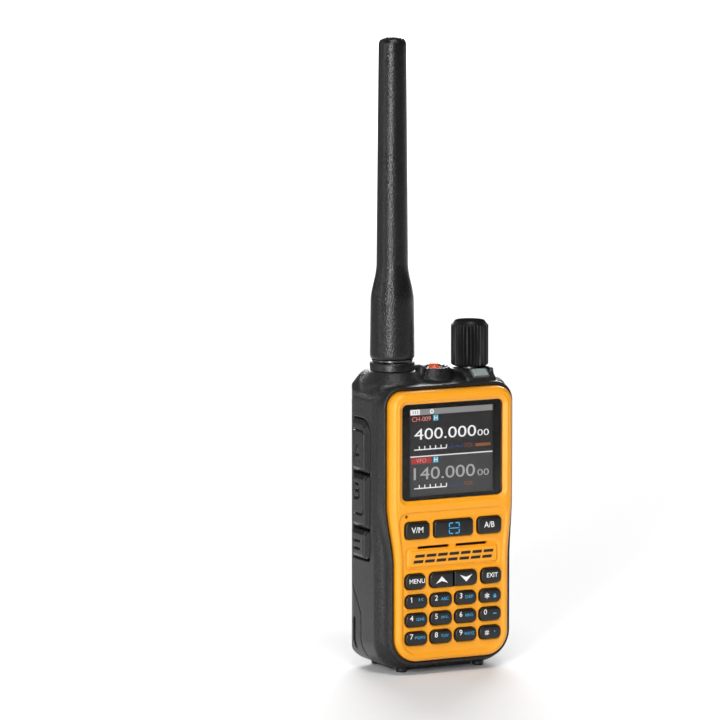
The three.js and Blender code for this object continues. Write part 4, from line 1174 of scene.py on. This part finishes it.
# ---------------------------------------------------------------- latch and carried-over nodes


def latch_field(x, y, z):
    wide = np.maximum(np.abs(x) - latch.half_x, span(y, 14.8, 26.2))
    tongue = np.maximum(np.abs(x) - 13.3, span(y, latch.front, latch.back))
    plan = round_or(wide, tongue, 0.5)
    shape = round_and(plan, span(z, latch.low, latch.high), 0.25)
    ribs = 0.12 * ridge(np.mod(y - 14, 2) - 1, 0, 0.35) * (np.abs(x) < 8) * (z < latch.z)
    return shape + ribs


def latch_piece():
    axes = (graded((-18.4, 18.4, 0.4)), graded((9.4, 29.6, 0.35)), graded((0.1, 1.8, 0.17)))
    field_piece("battery_latch_plate", latch_field, axes, "black", "battery_latch", "battery_latch")


CARRIED = {
    "steel": (
        "case_screw_low_left", "case_screw_low_right", "case_screw_high_left", "case_screw_high_right",
        "microphone", "rf_shield", "usb_socket",
    ),
    "black": ("lcd_module", "speaker", "headset_jack", "microphone_jack", "volume_encoder", "battery_cover"),
    "board": ("main_board", "side_switch_board"),
    "brass": ("battery_terminals", "antenna_connector"),
    "cast": ("chassis_frame", "volume_shaft"),
    "cell": ("battery_cell_left", "battery_cell_right"),
    "silicone": ("keypad_mat",),
}


def dress_carried_nodes():
    for finish, nodes in CARRIED.items():
        for node in nodes:
            materials = frame["nodes"][node].data.materials
            materials.clear()
            materials.append(finishes[finish])


# ---------------------------------------------------------------- stage, lights and camera


def stage():
    """A pale floor that darkens towards the front and the left, outside the main picture."""
    material, tree, shader = new_material("pale_floor", "stage")
    place = tree.nodes.new("ShaderNodeTexCoord")
    axes = tree.nodes.new("ShaderNodeSeparateXYZ")
    tree.links.new(place.outputs["Object"], axes.inputs["Vector"])
    in_front = remapped(tree, axes.outputs["Y"], 0, 1, -0.9, -0.26)
    sideways = tree.nodes.new("ShaderNodeVectorMath")
    sideways.operation = "DOT_PRODUCT"
    sideways.inputs[1].default_value = (-0.891, 0.454, 0)
    tree.links.new(place.outputs["Object"], sideways.inputs[0])
    to_the_left = remapped(tree, sideways.outputs["Value"], 1, 0, 0.22, 0.6)
    pale = tree.nodes.new("ShaderNodeMath")
    pale.operation = "MULTIPLY"
    tree.links.new(in_front, pale.inputs[0])
    tree.links.new(to_the_left, pale.inputs[1])
    tone = two_tone(tree, pale.outputs["Value"], (0.2, 0.2, 0.2), (0.91, 0.91, 0.912), 0, 1)
    tree.links.new(tone, shader.inputs["Base Color"])
    shader.inputs["Roughness"].default_value = 0.85
    shader.inputs["Specular IOR Level"].default_value = 0.1
    mesh = bpy.data.meshes.new("floor")
    half = 9
    corners = [(-half, -half, 0), (half, -half, 0), (half, half, 0), (-half, half, 0)]
    mesh.from_pydata(corners, [], [(0, 1, 2, 3)])
    mesh.materials.append(material)
    floor = bpy.data.objects.new("floor", mesh)
    bpy.context.scene.collection.objects.link(floor)


def area_light(name, azimuth, elevation, distance, width, height, power, aim=(0, 0, 0.11)):
    """A softbox that faces the object; azimuth 0 is straight in front, and 90 is the right side."""
    light = bpy.data.lights.new(name, "AREA")
    light.shape = "RECTANGLE"
    light.size, light.size_y = width, height
    light.energy = power
    lamp = bpy.data.objects.new(name, light)
    turn, rise = math.radians(azimuth), math.radians(elevation)
    away = Vector((math.sin(turn) * math.cos(rise), -math.cos(turn) * math.cos(rise), math.sin(rise)))
    lamp.location = Vector(aim) + away * distance
    lamp.rotation_euler = (-away).to_track_quat("-Z", "Y").to_euler()
    lamp.visible_camera = False
    bpy.context.scene.collection.objects.link(lamp)


def lights():
    world = bpy.data.worlds.new("studio")
    world.use_nodes = True
    background = world.node_tree.nodes["Background"].inputs
    background["Color"].default_value = (1, 1, 1, 1)
    background["Strength"].default_value = 0.1
    bpy.context.scene.world = world
    area_light("key_strip", -41, 5, 1.1, 0.16, 0.9, 12)
    area_light("edge_strip", -92, 5, 1.1, 0.3, 0.9, 2.5)
    area_light("left_softbox", -130, 12, 1.1, 0.45, 1.0, 1)
    area_light("front_fill", -16, 60, 1.3, 0.5, 0.35, 7)
    area_light("top_softbox", 180, 62, 1.3, 1.6, 1.2, 1.5)
    area_light("backdrop_light", 152, 40, 3.4, 3.6, 2.0, 330, aim=(0.9, 1.9, 0))
    bpy.context.scene.view_settings.view_transform = "Standard"


def camera():
    """A long lens at the front left, a little above the radio."""
    azimuth, elevation, distance = math.radians(27), math.radians(7.3), 2.012
    target = Vector((-23.5, 13, 115.4)) * MM
    level = math.cos(elevation)
    forward = Vector((math.sin(azimuth) * level, math.cos(azimuth) * level, -math.sin(elevation)))
    lens_data = bpy.data.cameras.new("camera")
    lens_data.lens = 270
    lens_data.sensor_width = 36
    lens_data.clip_end = 60
    viewer = bpy.data.objects.new("camera", lens_data)
    viewer.location = target - forward * distance
    viewer.rotation_euler = forward.to_track_quat("-Z", "Y").to_euler()
    bpy.context.scene.collection.objects.link(viewer)
    bpy.context.scene.camera = viewer


camera()
case_pieces()
bezel_piece()
display_piece()
key_pieces()
side_pieces()
cover_pieces()
top_pieces()
latch_piece()
dress_carried_nodes()
stage()
lights()
